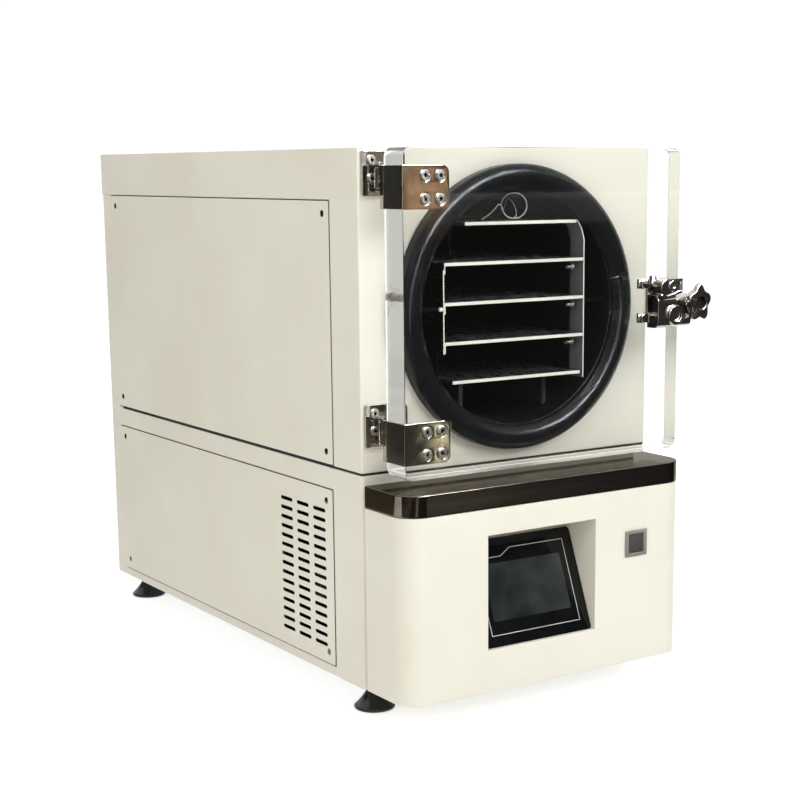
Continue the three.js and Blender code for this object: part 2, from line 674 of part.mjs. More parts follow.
function powerSwitchPieces() {
  const { width, height, button, rim, depth, travel } = powerSwitch;
  const face = clearance + rim;
  const hole = button / 2 + clearance;
  const sleeve = hole + sheet;
  const frame = cut(
    join(
      box(-width / 2, width / 2, -face, -clearance, -height / 2, height / 2),
      box(-sleeve, sleeve, -clearance - 0.2, depth, -sleeve, sleeve),
    ),
    box(-hole, hole, -face - 1, depth - 2, -hole, hole),
  );
  const key = box(
    -button / 2, button / 2, -face + 1.2, depth - 2 - clearance - travel, -button / 2, button / 2,
  );
  const group = assembly(
    piece('switch_frame', frame, greyPlastic()),
    piece('switch_button', key, greyPlastic()),
  );
  group.position.set(powerSwitch.x, -fascia.front, floorOfCasing + powerSwitch.z);
  return group;
}

function controlBoxPiece() {
  const { width, height, depth } = controlBox;
  const shell = cut(
    box(-width / 2, width / 2, 0, depth, 0, height),
    box(-width / 2 + 1.5, width / 2 - 1.5, 1.5, depth + 1, 1.5, height - 1.5),
  );
  const lid = box(-width / 2 + 1, width / 2 - 1, depth - 1.5, depth, 1, height - 1);
  const gland = rod('z', 9, height - 1, height + 14, width / 2 - 30, depth / 2, 14);
  const vent = rod('z', 6, height - 5, height + 20, width / 2 - 30, depth / 2, 14);
  const mesh = piece('control_box', cut(join(shell, lid, gland), vent), zincSteel());
  mesh.position.set(0, sheet + clearance, floorOfCasing + controlBox.bottom);
  return mesh;
}

// ---------------------------------------------------------------- chamber
function vacuumChamber() {
  const { innerRadius, depth, endPlate, flangeRadius, flangeFront, portRadius } = chamber;
  const profile = [
    [portRadius, depth], [innerRadius, depth], [innerRadius, -flangeFront], [flangeRadius, -flangeFront],
    [flangeRadius, -clearance], [drumRadius, -clearance], [drumRadius, depth + endPlate],
    [portRadius, depth + endPlate], [portRadius, depth],
  ];
  const outlet = rod(
    'y', drainOutlet.radius, depth - 1, depth + endPlate + 1, drainOutlet.x, drainOutlet.z, 12,
  );
  return piece('vacuum_chamber', cut(turnedAboutY(profile, chamber.segments), outlet), brushedSteel());
}

function doorGasket() {
  const skirt = chamber.flangeRadius + 0.4;
  const seat = -chamber.flangeFront - clearance;
  const { outerRadius, front, innerRadius } = gasket;
  const profile = [
    [skirt, -2 * clearance], [outerRadius, -2 * clearance], [outerRadius, -front + 11],
    [outerRadius - 1.6, -front + 6], [outerRadius - 5.5, -front + 2], [outerRadius - 12, -front],
    [outerRadius - 24, -front], [outerRadius - 31, -front + 2.5], [innerRadius + 1.2, -front + 8],
    [innerRadius, seat], [skirt, seat], [skirt, -2 * clearance],
  ];
  return piece('door_gasket', turnedAboutY(profile, chamber.segments), blackRubber());
}

function insulationJacket() {
  const rear = chamber.depth + chamber.endPlate - jacket.rear;
  const profile = [
    [jacketInner, jacket.front], [jacketOuter, jacket.front], [jacketOuter, rear],
    [jacketInner, rear], [jacketInner, jacket.front],
  ];
  return piece('insulation_jacket', turnedAboutY(profile, jacket.segments), foam());
}

function coolingCoil() {
  const steps = coil.turns * coil.stepsPerTurn;
  const points = [];
  for (let i = 0; i <= steps; i += 1) {
    const angle = (2 * Math.PI * i) / coil.stepsPerTurn;
    const y = coil.front + ((coil.rear - coil.front) * i) / steps;
    points.push(new THREE.Vector3(coilRadius * Math.cos(angle), y, -coilRadius * Math.sin(angle)));
  }
  const path = new THREE.CurvePath();
  for (let i = 0; i < steps; i += 1) {
    path.add(new THREE.LineCurve3(points[i], points[i + 1]));
  }
  const section = new THREE.Shape();
  section.absarc(0, 0, coil.tubeRadius, 0, 2 * Math.PI, false);
  const options = { steps, extrudePath: path, bevelEnabled: false, curveSegments: 3 };
  return piece('cooling_coil', solidOf(new THREE.ExtrudeGeometry(section, options)), copper());
}

function drumSaddle(name, y) {
  const reach = (jacketOuter + clearance) / Math.cos(Math.PI / saddle.segments);
  const bottom = seamLow + clearance - chamberZ;
  const half = saddle.halfWidth;
  const block = box(-half, half, y, y + saddle.thickness, bottom, bottom + saddle.height);
  const bed = rod('y', reach, y - 1, y + saddle.thickness + 1, 0, 0, saddle.segments);
  return piece(name, cut(block, bed), zincSteel());
}

function shelfZ(i) {
  return rack.middle + (i - 2) * rack.pitch;
}

// where each shelf starts and ends across the drum, from the lowest up
function shelfEnds(i) {
  if (i === 0) {
    return [rack.lowestLeft, rack.lowestRight];
  }
  if (i === 4) {
    return [rack.topLeft, rack.topRight];
  }
  return [rack.left, rack.right];
}

function shelf(i) {
  const [left, right] = shelfEnds(i);
  const z = shelfZ(i);
  const half = rack.shelfThickness / 2;
  const y0 = -rack.front;
  const y1 = y0 + rack.length;
  let plate = box(left, right, y0, y1, z - half, z + half);
  const inner = i > 0 && i < 4;
  if (inner) {
    plate = join(plate, box(left, left + rack.plate, y0, y1, z - rack.flange, z));
  } else {
    // the outer shelves stand off their neighbours on posts, because the drum narrows there
    const towards = i === 0 ? 1 : -1;
    const from = z + towards * half * 0.5;
    const to = shelfZ(i === 0 ? 1 : 3) - towards * (half + clearance);
    const ends = [from, to].sort((a, b) => a - b);
    for (const y of [y0 + rack.postInset, y1 - rack.postInset]) {
      plate = join(plate, rod('z', 4, ends[0], ends[1], left + 12, y, 10));
    }
  }
  return piece(`shelf_${i + 1}`, plate, aluminium());
}

function rackPlates() {
  const y0 = -rack.front;
  const y1 = y0 + rack.length;
  const leftFace = rack.left - clearance;
  const left = box(leftFace - rack.plate, leftFace, y0, y1, rack.leftBottom, rack.leftTop);
  const rightFace = rack.right + clearance;
  const topEdge = shelfZ(4);
  const lean = rightFace - rack.topRight - clearance;
  const outline = polygon([
    [rightFace, rack.rightBottom], [rightFace + rack.plate, rack.rightBottom],
    [rightFace + rack.plate, rack.rightTop], [rightFace + rack.plate - lean * 0.35, topEdge - 12],
    [rightFace + rack.plate - lean, topEdge + 2], [rightFace - lean, topEdge + 2],
    [rightFace - lean * 0.35, topEdge - 12], [rightFace, rack.rightTop],
  ]);
  return [
    piece('rack_plate_left', left, brushedSteel()),
    piece('rack_plate_right', frontal(outline, y0, y1), brushedSteel()),
  ];
}

function rackRunner(name, side) {
  const top = shelfZ(0) - rack.shelfThickness / 2 - clearance;
  const y0 = runner.inset;
  const y1 = y0 + runner.length;
  const bar = box(
    side * runner.x - runner.width / 2, side * runner.x + runner.width / 2, y0, y1,
    -chamber.innerRadius, top,
  );
  const reach = (chamber.innerRadius - clearance) * Math.cos(Math.PI / chamber.segments);
  const bore = rod('y', reach, y0 - 1, y1 + 1, 0, 0, chamber.segments);
  return piece(name, bar.intersect(bore), blackPlastic());
}

function rackStandoff(name, side) {
  const inner = (side < 0 ? -rack.left : rack.right) + rack.plate + 2 * clearance;
  const outer = Math.sqrt((chamber.innerRadius - 1) ** 2 - (standoff.height + standoff.radius) ** 2);
  const ends = [side * inner, side * outer].sort((a, b) => a - b);
  const pin = rod('x', standoff.radius, ends[0], ends[1], standoff.y, standoff.height, 14);
  return piece(name, pin, blackPlastic());
}

// thin probe lead that rises from the top shelf into two upright turns, then runs to the rear
function probeLead() {
  const shelfTop = shelfZ(4) + rack.shelfThickness / 2 + lead.radius + clearance;
  const { x, y, loopRadius } = lead;
  const middle = shelfTop + loopRadius + 0.5;
  // the turns face the hinge side of the door
  const across = { x: Math.cos(lead.turned), y: -Math.sin(lead.turned) };
  const points = [
    [x - 49, y + 16, shelfTop], [x - 38, y + 11, shelfTop + 8], [x - 29, y + 8, shelfTop + 17],
    [x - 22, y + 10, shelfTop + 22],
  ];
  const stepsPerTurn = 8;
  const steps = lead.turns * stepsPerTurn;
  for (let i = 0; i <= steps; i += 1) {
    const angle = Math.PI + (2 * Math.PI * i) / stepsPerTurn;
    const reach = loopRadius * Math.cos(angle);
    const aside = (i * 2.3 * lead.radius) / stepsPerTurn;
    points.push([
      x + reach * across.x - aside * across.y, y + reach * across.y + aside * across.x,
      middle + loopRadius * Math.sin(angle),
    ]);
  }
  const run = 5;
  points.push([x + 12, y + 30, middle + loopRadius * 0.55], [x + 20, y + 60, shelfTop + 9]);
  points.push([x + 22, y + 85, shelfTop + 2]);
  for (let i = 0; i <= run; i += 1) {
    points.push([x + 22, y + 120 + ((rack.length - y - 140) * i) / run, shelfTop]);
  }
  points.push([x + 22, chamber.depth - clearance - 1, shelfTop + 3]);
  return piece('probe_lead', tube(points, lead.radius, 96, 5), whitePlastic());
}

function chamberAssembly() {
  const group = assembly(
    vacuumChamber(), doorGasket(), insulationJacket(), coolingCoil(),
    drumSaddle('drum_saddle_front', saddle.front), drumSaddle('drum_saddle_rear', saddle.rear),
    [0, 1, 2, 3, 4].map(shelf), rackPlates(),
    rackRunner('rack_runner_left', -1), rackRunner('rack_runner_right', 1),
    rackStandoff('rack_standoff_left', -1), rackStandoff('rack_standoff_right', 1),
    probeLead(),
  );
  group.position.set(0, 0, chamberZ);
  return group;
}

// ---------------------------------------------------------------- door, hinges and latch
function doorPlate() {
  const outline = roundedRectangle(
    doorLeft, doorRight, doorBottom, floorOfCasing + door.top, door.corner,
  );
  return piece('door_plate', frontal(outline, doorFront, -door.back, 6), clearAcrylic());
}

// socket-head screw in a cup washer, head towards -Y
function hingeScrewHead(x, z, face) {
  const washer = rod('y', hingeScrew.radius, face - hingeScrew.height * 0.45, face + 0.5, x, z, 14);
  const head = rod('y', hingeScrew.radius * 0.72, face - hingeScrew.height, face + 0.5, x, z, 12);
  const socket = rod('y', hingeScrew.socket, face - hingeScrew.height - 1, face - 0.6, x, z, 6);
  return cut(join(washer, head), socket);
}

function hingeLeaf(name, middle) {
  const z0 = middle - hinge.leafHeight / 2;
  const z1 = middle + hinge.leafHeight / 2;
  const inner = doorLeft - clearance;
  const outer = inner - hinge.leafThickness;
  const back = doorFront - clearance;
  const front = back - hinge.frontThickness;
  const right = outer + hinge.leafLength;
  const face = frontal(
    roundedRectangle(outer, right, z0, z1, [0, hinge.corner, hinge.corner, 0]), front, back, 4,
  );
  const side = box(outer, inner, front + 0.5, -hinge.sideBack, z0, z1);
  const low = middle + hinge.barrelLow;
  const high = middle + hinge.barrelHigh;
  const neck = box(inner - hinge.neck + 1, inner + 1, -hinge.sideBack - 4, hinge.axisY, low, high);
  const barrel = rod('z', hinge.barrelRadius, low, high, hingeX, hinge.axisY, 24);
  const bore = rod('z', hinge.pinRadius + clearance, z0 - 1, z1 + 1, hingeX, hinge.axisY, 24);
  const heads = [];
  for (const x of [outer + hingeScrew.first, outer + hingeScrew.first + hingeScrew.pitchX]) {
    for (const z of [middle - hingeScrew.pitchZ / 2, middle + hingeScrew.pitchZ / 2]) {
      heads.push(hingeScrewHead(x, z, front));
    }
  }
  // the neck stops short of the door's corner
  const corner = box(doorLeft - clearance, doorLeft + 9, doorFront, -door.back + clearance, z0 - 1, z1 + 1);
  return piece(name, cut(join(face, side, cut(neck, corner), barrel, heads), bore), mirrorSteel());
}

function hingeBase(name, middle) {
  const low = middle + hinge.baseLow;
  const high = middle + hinge.baseHigh;
  const right = hingeBaseLeft + hinge.baseWidth;
  const corners = [2, hinge.baseCorner, hinge.baseCorner, 2];
  const outline = roundedRectangle(hingeBaseLeft, right, low, high, corners);
  const plate = frontal(outline, -hinge.baseThickness, -clearance, 4);
  // two lugs hold the pin above and below the leaf's barrel
  const lugs = [
    middle + hinge.barrelHigh + clearance, middle + hinge.barrelLow - clearance - hinge.lug,
  ].map((z) => join(
    rod('z', hinge.barrelRadius, z, z + hinge.lug, hingeX, hinge.axisY, 24),
    box(
      hingeX - hinge.barrelRadius, hingeX + hinge.barrelRadius, hinge.axisY, -hinge.baseThickness + 1,
      z, z + hinge.lug,
    ),
  ));
  const bore = rod('z', hinge.pinRadius + clearance, low - 1, high + 1, hingeX, hinge.axisY, 24);
  const heads = [baseScrew.low, baseScrew.high].map((dz) => rod(
    'y', baseScrew.radius, -hinge.baseThickness - baseScrew.height, -hinge.baseThickness + 0.5,
    hingeBaseLeft + baseScrew.fromEdge, middle + dz, 16,
  ));
  return piece(name, cut(join(plate, lugs, heads), bore), mirrorSteel());
}

function hingePin(name, middle) {
  const seat = middle + hinge.barrelHigh + clearance + hinge.lug + clearance;
  const bottom = middle + hinge.barrelLow - clearance - hinge.lug - 1.5;
  const shank = rod('z', hinge.pinRadius, bottom, seat + 1, hingeX, hinge.axisY, 24);
  const head = rod('z', hinge.pinRadius + 2, seat, seat + 2.5, hingeX, hinge.axisY, 24);
  return piece(name, join(shank, head), brushedSteel());
}

function hingeSet(level, label) {
  const middle = floorOfCasing + level;
  return [
    hingeBase(`hinge_base_${label}`, middle),
    hingePin(`hinge_pin_${label}`, middle),
    hingeLeaf(`hinge_leaf_${label}`, middle),
  ];
}

// face of the latch's upper lug: round at its left end, square at its right, narrower there
function lugOutline(inset) {
  const half = (latch.lugTop - latch.lugLow) / 2;
  const left = doorRight - latch.left + half;
  const right = doorRight - latch.lugEnd - inset;
  const top = latch.lugTop - inset;
  const shape = new THREE.Shape();
  shape.moveTo(left, latch.lugLow + inset);
  shape.lineTo(right, latch.lugWaist + inset);
  shape.lineTo(right, top);
  shape.lineTo(left, top);
  shape.absarc(left, latch.lugTop - half, half - inset, Math.PI / 2, 1.5 * Math.PI, false);
  return shape;
}

// casting clamped on the door's right edge; it carries the spindle outboard of the plate
function latchBody() {
  const back = doorFront - clearance;
  const front = back - latch.depth;
  const bodyFront = back - latch.bodyDepth;
  const left = doorRight - latch.left;
  const lug = cut(
    frontal(lugOutline(0), front, back, 7), frontal(lugOutline(3.5), front - 1, front + 2, 7),
  );
  const section = roundedRectangle(
    bodyFront, back, latch.bodyLow, latch.bodyTop, [latch.bodyRound, 0, 0, latch.bodyRound],
  );
  const body = sideways(section, left, doorRight + latch.bodyEnd, 4);
  const boss = rod('y', latch.bossRadius, bodyFront, back, spindleX, 0, 28);
  const bushX = doorRight - latch.bushInset;
  const bush = rod('y', latch.bushRadius, front, back - 3, bushX, latch.bushZ, 28);
  const bushCup = rod('y', latch.bushRadius * 0.66, front - 1, front + 5, bushX, latch.bushZ, 24);
  const screwX = left + 26;
  const screwZ = (latch.lugTop + latch.lugWaist) / 2;
  const screw = cut(
    rod('y', 8.5, front, front + 3, screwX, screwZ, 20),
    rod('y', 3.6, front - 1, front + 2, screwX, screwZ, 6),
  );
  const ears = [latchEar.upper, latchEar.lower].map((z) => join(
    box(
      left - latchEar.reach, left + 8, back - latchEar.thickness, back, z - latchEar.height / 2,
      z + latchEar.height / 2,
    ),
    rod(
      'y', latchEar.boltRadius, back - latchEar.thickness - latchEar.bolt, back - 1,
      left - latchEar.reach + 8, z, 6,
    ),
  ));
  const nut = rod('z', 5.5, latch.lugLow + 8, latch.lugTop + 4, left + 5, back - 7, 6);
  const bore = rod('y', latch.spindleRadius + clearance, front - 5, back + 1, spindleX, 0, 24);
  const solid = cut(join(cut(join(body, boss, bush), bushCup), lug, screw, ears, nut), bore);
  const mesh = piece('latch_body', solid, mirrorSteel());
  mesh.position.z = floorOfCasing + latch.z;
  return mesh;
}

// front and back planes of the knob, just ahead of everything on the casting
function knobPlanes() {
  const back = doorFront - clearance - latch.depth - 2 * clearance;
  return { front: back - knob.thickness, back };
}

// spindle with a hook at its rear end, drawn with the hook turned up, clear of the keeper
function latchSpindle() {
  const hookFront = -keeper.flangeFront + keeper.thickness + 2 * clearance;
  const hookBack = hookFront + latch.hookThickness;
  const start = knobPlanes().front + knob.cupDepth;
  const shank = rod('y', latch.spindleRadius, start, hookBack, 0, 0, 24);
  const half = latch.hookWidth / 2;
  const outline = roundedRectangle(-half, half, -half, latch.hookLength, half - 0.2);
  const hook = frontal(outline, hookFront, hookBack, 5);
  return piece('latch_spindle', join(shank, hook), brushedSteel());
}

// lobed knob, taller than wide, with a recess at its middle
function latchKnob() {
  const { front, back } = knobPlanes();
  const shape = new THREE.Shape();
  const steps = 60;
  for (let i = 0; i < steps; i += 1) {
    const angle = (2 * Math.PI * i) / steps;
    const swell = 0.91 + 0.09 * Math.cos(knob.lobes * (angle - Math.PI / 2));
    const place = [knob.halfWidth * swell * Math.cos(angle), knob.halfHeight * swell * Math.sin(angle)];
    if (i === 0) {
      shape.moveTo(...place);
    } else {
      shape.lineTo(...place);
    }
  }
  shape.closePath();
  const star = frontal(shape, front, back, 1);
  const seat = doorFront - clearance - latch.bodyDepth - clearance;
  const neck = rod('y', latch.bossRadius - 2, back - 1, seat, 0, 0, 24);
  const bore = rod('y', latch.spindleRadius + clearance, front + knob.cupDepth - 1, seat + 1, 0, 0, 24);
  const cup = rod('y', knob.cup, front - 1, front + knob.cupDepth, 0, 0, 24);
  return piece('latch_knob', cut(join(star, neck), bore, cup), mirrorSteel());
}

function latchRotor() {
  const group = assembly(latchSpindle(), latchKnob());
  group.position.set(spindleX, 0, floorOfCasing + latch.z);
  return group;
}

// angle on the cabinet's side whose front flange the hook draws against
function latchKeeper() {
  const x0 = halfWidth + clearance;
  const t = keeper.thickness;
  const front = -keeper.flangeFront;
  const h = keeper.halfHeight;
  const flange = box(x0, halfWidth + keeper.flange, front, front + t, -h, h);
  const leaf = box(x0, x0 + t * 0.6, front, keeper.leaf, -h, h);
  const bolts = [-0.8 * h, 0, 0.9 * h].map((z) => join(
    rod('y', 5.5, front - 2, front + 0.5, x0 + 9.5, z * 0.9, 14),
    rod('y', 4.2, front - 6, front + 0.5, x0 + 9.5, z * 0.9, 6),
  ));
  const sideBolts = [-0.6 * h, 0.6 * h].map((z) => rod('x', 5, x0 + 1, x0 + t * 0.6 + 2.5, 28, z, 12));
  const mesh = piece('latch_keeper', join(flange, leaf, bolts, sideBolts), brushedSteel());
  mesh.position.z = floorOfCasing + latch.z;
  return mesh;
}

// ---------------------------------------------------------------- refrigeration plant and rear fittings
function compressorPiece() {
  const { radius, height, base } = compressor;
  const profile = [
    [0, 12], [radius * 0.62, 12], [radius * 0.93, 26], [radius, 44], [radius, height * 0.52],
    [radius + 4, height * 0.53], [radius + 4, height * 0.56], [radius, height * 0.57],
    [radius * 0.97, height * 0.78], [radius * 0.8, height * 0.93], [radius * 0.45, height], [0, height],
  ];
  const can = turnedAboutZ(profile, 24);
  const plate = box(-radius, radius, -radius * 0.75, radius * 0.75, 8, 8 + base);
  const posts = [];
  for (const x of [-radius + 14, radius - 14]) {
    for (const y of [-radius * 0.75 + 14, radius * 0.75 - 14]) {
      posts.push(rod('z', 9, 0, 9, x, y, 12));
    }
  }
  const saddlePost = rod('z', radius * 0.5, 9, 20, 0, 0, 24);
  const terminal = box(radius - 8, radius + 26, -26, 26, height * 0.25, height * 0.5);
  const mesh = piece('compressor', join(can, plate, posts, saddlePost, terminal), blackPlastic());
  mesh.position.set(compressor.x, compressor.y, panTop + clearance);
  return mesh;
}

function fanCentreZ() {
  return floorOfCasing + 170;
}

function condenserPlaces() {
  const rear = cabinet.depth - condenser.rear;
  return { y0: rear - condenser.depth, y1: rear, z0: fanCentreZ() - condenser.height / 2 };
}

function condenserPiece() {
  const { y0, y1, z0 } = condenserPlaces();
  const half = condenser.width / 2;
  const z1 = z0 + condenser.height;
  let block = box(-half, half, y0, y1, z0, z1);
  const pitch = (condenser.width - 24) / condenser.fins;
  for (let i = 0; i < condenser.fins; i += 1) {
    const x = -half + 12 + (i + 0.22) * pitch;
    block = cut(block, box(x, x + pitch * 0.56, y0 - 1, y0 + condenser.depth * 0.42, z0 + 8, z1 - 8));
  }
  const bottom = panTop + clearance;
  const legs = [-half, half - condenser.legs].map(
    (x) => box(x, x + condenser.legs, y0, y1, bottom, z0 + 1),
  );
  const mesh = piece('condenser', join(block, legs), aluminium());
  mesh.position.x = condenser.x;
  return mesh;
}

function fanPieces() {
  const rear = cabinet.depth - panel.thickness - clearance;
  const front = rear - fan.depth;
  const half = fan.shroud / 2;
  const plate = box(-half, half, rear - 6, rear, -half, half);
  const ring = rod('y', fan.ring + 4, front, rear - 1, 0, 0, 40);
  const mouth = rod('y', fan.ring, front - 1, rear + 1, 0, 0, 40);
  const arms = [0, 1, 2].map((i) => {
    const bar = new THREE.BoxGeometry(fan.ring + 2, 4, 8);
    bar.translate((fan.ring + 2) / 2, rear - 4, 0);
    bar.rotateY((2 * Math.PI * i) / 3 + Math.PI / 2);
    return solidOf(bar);
  });
  const motor = rod('y', 26, rear - 12, rear - 2, 0, 0, 24);
  const shaft = rod('y', fan.shaft, rear - 26, rear - 11, 0, 0, 16);
  const frame = cut(join(plate, ring), mouth);
  const shroud = piece('fan_shroud', join(frame, arms, motor, shaft), blackPlastic());
  const hubBack = rear - 12 - 2 * clearance;
  const hubFront = hubBack - 18;
  const blades = Array.from({ length: fan.blades }, (_, i) => {
    const blade = new THREE.BoxGeometry(fan.bladeRadius - 20, 2, 44);
    blade.rotateX(THREE.MathUtils.degToRad(58));
    blade.rotateX(Math.PI / 2);
    blade.translate((fan.bladeRadius + 20) / 2, (hubFront + hubBack) / 2, 0);
    blade.rotateY((2 * Math.PI * i) / fan.blades);
    return solidOf(blade);
  });
  const hub = rod('y', fan.hubRadius, hubFront, hubBack, 0, 0, 28);
  const sweep = rod('y', fan.bladeRadius, hubFront, hubBack, 0, 0, 40);
  const bore = rod('y', fan.shaft + clearance, hubFront + 3, hubBack + 1, 0, 0, 16);
  const rotor = piece('fan_rotor', cut(join(hub, join(blades).intersect(sweep)), bore), blackPlastic());
  const group = assembly(shroud, rotor);
  group.position.set(condenser.x, 0, fanCentreZ());
  return group;
}

function suctionLine() {
  const rear = drumRear;
  const z = chamberZ - drumRadius - 12;
  const joined = z + 2 * pipe.bend;
  const fall = rear + pipe.sweep;
  const top = panTop + clearance + compressor.height;
  const points = [
    [riserX, fall + 2, joined], [riserX, fall, z], [riserX, fall, seamLow - 20],
    [riserX - pipe.radius, rear - pipe.entry, seamLow - 50],
    [compressor.x + 20, compressor.y + compressor.radius, top + 20],
    [compressor.x, compressor.y, top + 22], [compressor.x, compressor.y, top + clearance],
  ];
  const joint = rod('y', 9, rear + clearance, fall + 8, riserX, joined, 14);
  return piece('suction_line', join(tube(points, pipe.radius, 32), joint), copper());
}

function dischargeLine() {
  const { y0, z0 } = condenserPlaces();
  const start = panTop + clearance + compressor.height * 0.42;
  const z1 = z0 + condenser.height - 24;
  const edge = compressor.x + compressor.radius + 4 + pipe.radius + clearance;
  const x = condenser.x - condenser.width / 2 + 6;
  const points = [
    [edge - pipe.bend, compressor.y + compressor.radius + 6, start],
    [edge, compressor.y + compressor.radius + pipe.sweep, start + 6],
    [x + pipe.bend, y0 - pipe.leadIn, z1 - 20], [x, y0 - pipe.entry, z1], [x, y0 - clearance, z1],
  ];
  return piece('discharge_line', tube(points, pipe.radius, 22), copper());
}

function vacuumPort() {
  const front = chamber.depth + chamber.endPlate + clearance;
  const rear = cabinet.depth + port.out;
  const inner = chamber.portRadius;
  const profile = [
    [inner, front], [port.radius + 8, front], [port.radius + 8, front + 8], [port.radius, front + 8],
    [port.radius, rear - 8], [port.flange, rear - 5], [port.flange, rear], [inner, rear], [inner, front],
  ];
  const mesh = piece('vacuum_port', turnedAboutY(profile, 24), brushedSteel());
  mesh.position.z = chamberZ;
  return mesh;
}

// line from the low side of the drum's end plate to the valve, about the valve's own centre
function drainLine(valveEnd) {
  const start = drumRear + clearance;
  const span = valveEnd - start;
  const outlet = [drainOutlet.x - drainX, drainOutlet.z + chamber.centre - drain.z];
  const points = [
    [outlet[0], start, outlet[1]], [outlet[0], start + span * 0.08, outlet[1]],
    [outlet[0] * 0.5, start + span * 0.3, outlet[1] * 0.55],
    [outlet[0] * 0.1, start + span * 0.6, outlet[1] * 0.1],
    [0, start + span * 0.8, 0], [0, valveEnd + 8, 0],
  ];
  return tube(points, drain.tube - 2, 16, 8);
}

function drainPieces() {
  const rear = cabinet.depth;
  const z = floorOfCasing + drain.z;
  const inside = rear - 40;
  const body = join(
    rod('y', drain.tube, inside, rear + drain.length, 0, 0, 20),
    rod('y', drain.tube + 5, rear + clearance, rear + 6, 0, 0, 6),
    rod('y', drain.tube + 4, rear + 14, rear + 40, 0, 0, 20),
    rod('z', 6, 0, drain.tube + 9, 0, rear + 27, 16),
    rod('z', 3, drain.tube + 8, drain.tube + 14, 0, rear + 27, 12),
    drainLine(inside),
  );
  const bore = rod('y', drain.tube - 3, inside - 1, rear + drain.length + 1, 0, 0, 16);
  const top = drain.tube + 9 + clearance;
  const lever = cut(
    join(
      box(-5, 5, rear + 27, rear + 27 + drain.lever, top, top + 3),
      rod('z', 8, top, top + 3, 0, rear + 27, 20),
    ),
    rod('z', 3 + clearance, top - 1, top + 4, 0, rear + 27, 16),
  );
  const group = assembly(
    piece('drain_valve_body', cut(body, bore), brushedSteel()),
    piece('drain_valve_lever', lever, blackPlastic()),
  );
  group.position.set(drainX, 0, z);
  return group;
}

function inletBody(grow, y0, y1) {
  const w = inlet.width / 2 + grow;
  const h = inlet.height / 2 + grow;
  const z = floorOfCasing + inlet.z;
  return box(inletX - w, inletX + w, y0, y1, z - h, z + h);
}

function powerInlet() {
  const z = floorOfCasing + inlet.z;
  const outer = cabinet.depth;
  const body = inletBody(0, outer - inlet.depth, outer + 1);
  const face = box(
    inletX - inlet.width / 2 - 6, inletX + inlet.width / 2 + 6, outer + clearance, outer + 3,
    z - inlet.height / 2 - 6, z + inlet.height / 2 + 6,
  );
  const socket = box(inletX - 20, inletX + 20, outer - inlet.depth + 6, outer + 5, z - 14, z + 14);
  const blades = [-11, 0, 11].map((dx) => box(
    inletX + dx - 1.2, inletX + dx + 1.2, outer - inlet.depth + 5, outer - 6, z - 4, z + 4,
  ));
  return piece('power_inlet', join(cut(join(body, face), socket), blades), blackPlastic());
}

// ---------------------------------------------------------------- the whole machine
function freezeDryer() {
  const machine = assembly(
    lowerCabinet(), upperHood(), seamStrip(), basePan(), midDeck(), rearPanelPiece(),
    upperSidePanel('side_panel_upper_left', -1), upperSidePanel('side_panel_upper_right', 1),
    lowerSidePanel('side_panel_lower_left', -1), lowerSidePanel('side_panel_lower_right', 1),
    levellingFeet(),
    controlFascia(), trayCapPiece(), touchPanelPieces(), powerSwitchPieces(), controlBoxPiece(),
    chamberAssembly(),
    doorPlate(), hingeSet(hinge.upper, 'upper'), hingeSet(hinge.lower, 'lower'),
    latchBody(), latchRotor(), latchKeeper(),
    compressorPiece(), condenserPiece(), fanPieces(), suctionLine(), dischargeLine(),
    vacuumPort(), drainPieces(), powerInlet(),
  );
  // the origin is on the floor at the middle of the machine's outer box
  machine.updateMatrixWorld(true);
  const bounds = new THREE.Box3().setFromObject(machine);
  machine.position.set(-(bounds.min.x + bounds.max.x) / 2, -(bounds.min.y + bounds.max.y) / 2, 0);
  return assembly(machine);
}

export default freezeDryer();
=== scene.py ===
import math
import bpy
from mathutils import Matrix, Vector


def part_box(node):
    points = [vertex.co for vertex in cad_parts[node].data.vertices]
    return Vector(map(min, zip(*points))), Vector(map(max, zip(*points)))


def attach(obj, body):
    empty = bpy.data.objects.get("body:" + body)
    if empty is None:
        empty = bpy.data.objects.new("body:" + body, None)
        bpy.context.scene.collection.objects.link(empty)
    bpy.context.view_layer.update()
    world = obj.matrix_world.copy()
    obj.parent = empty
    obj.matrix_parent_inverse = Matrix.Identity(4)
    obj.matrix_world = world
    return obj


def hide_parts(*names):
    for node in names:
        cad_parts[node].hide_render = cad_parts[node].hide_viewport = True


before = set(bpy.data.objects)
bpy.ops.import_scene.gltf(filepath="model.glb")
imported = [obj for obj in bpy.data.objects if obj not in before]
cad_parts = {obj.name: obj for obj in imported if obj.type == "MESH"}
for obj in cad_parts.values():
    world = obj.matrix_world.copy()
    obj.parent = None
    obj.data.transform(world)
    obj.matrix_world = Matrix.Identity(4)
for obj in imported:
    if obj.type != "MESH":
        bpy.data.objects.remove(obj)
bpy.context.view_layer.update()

# Freeze dryer: a painted steel cabinet with a round vacuum chamber behind a thick clear door.
# Sizes are in metres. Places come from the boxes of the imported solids; details have their own named sizes.
from types import SimpleNamespace

import bmesh
import bpy
from mathutils import Matrix, Vector

X = Vector((1, 0, 0))
Y = Vector((0, 1, 0))
Z = Vector((0, 0, 1))


def mm(*values):
    """Millimetres as metres: one number, or a tuple of them."""
    metres = tuple(value / 1000 for value in values)
    return metres[0] if len(metres) == 1 else metres


def sizes(**millimetres):
    """Named sizes given in millimetres, each one number or a tuple of them, kept in metres."""
    return SimpleNamespace(**{
        name: mm(*value) if isinstance(value, tuple) else mm(value) for name, value in millimetres.items()
    })


def box_of(node):
    low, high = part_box(node)
    return Vector(low), Vector(high)


def middle_of(node):
    low, high = box_of(node)
    return (low + high) / 2


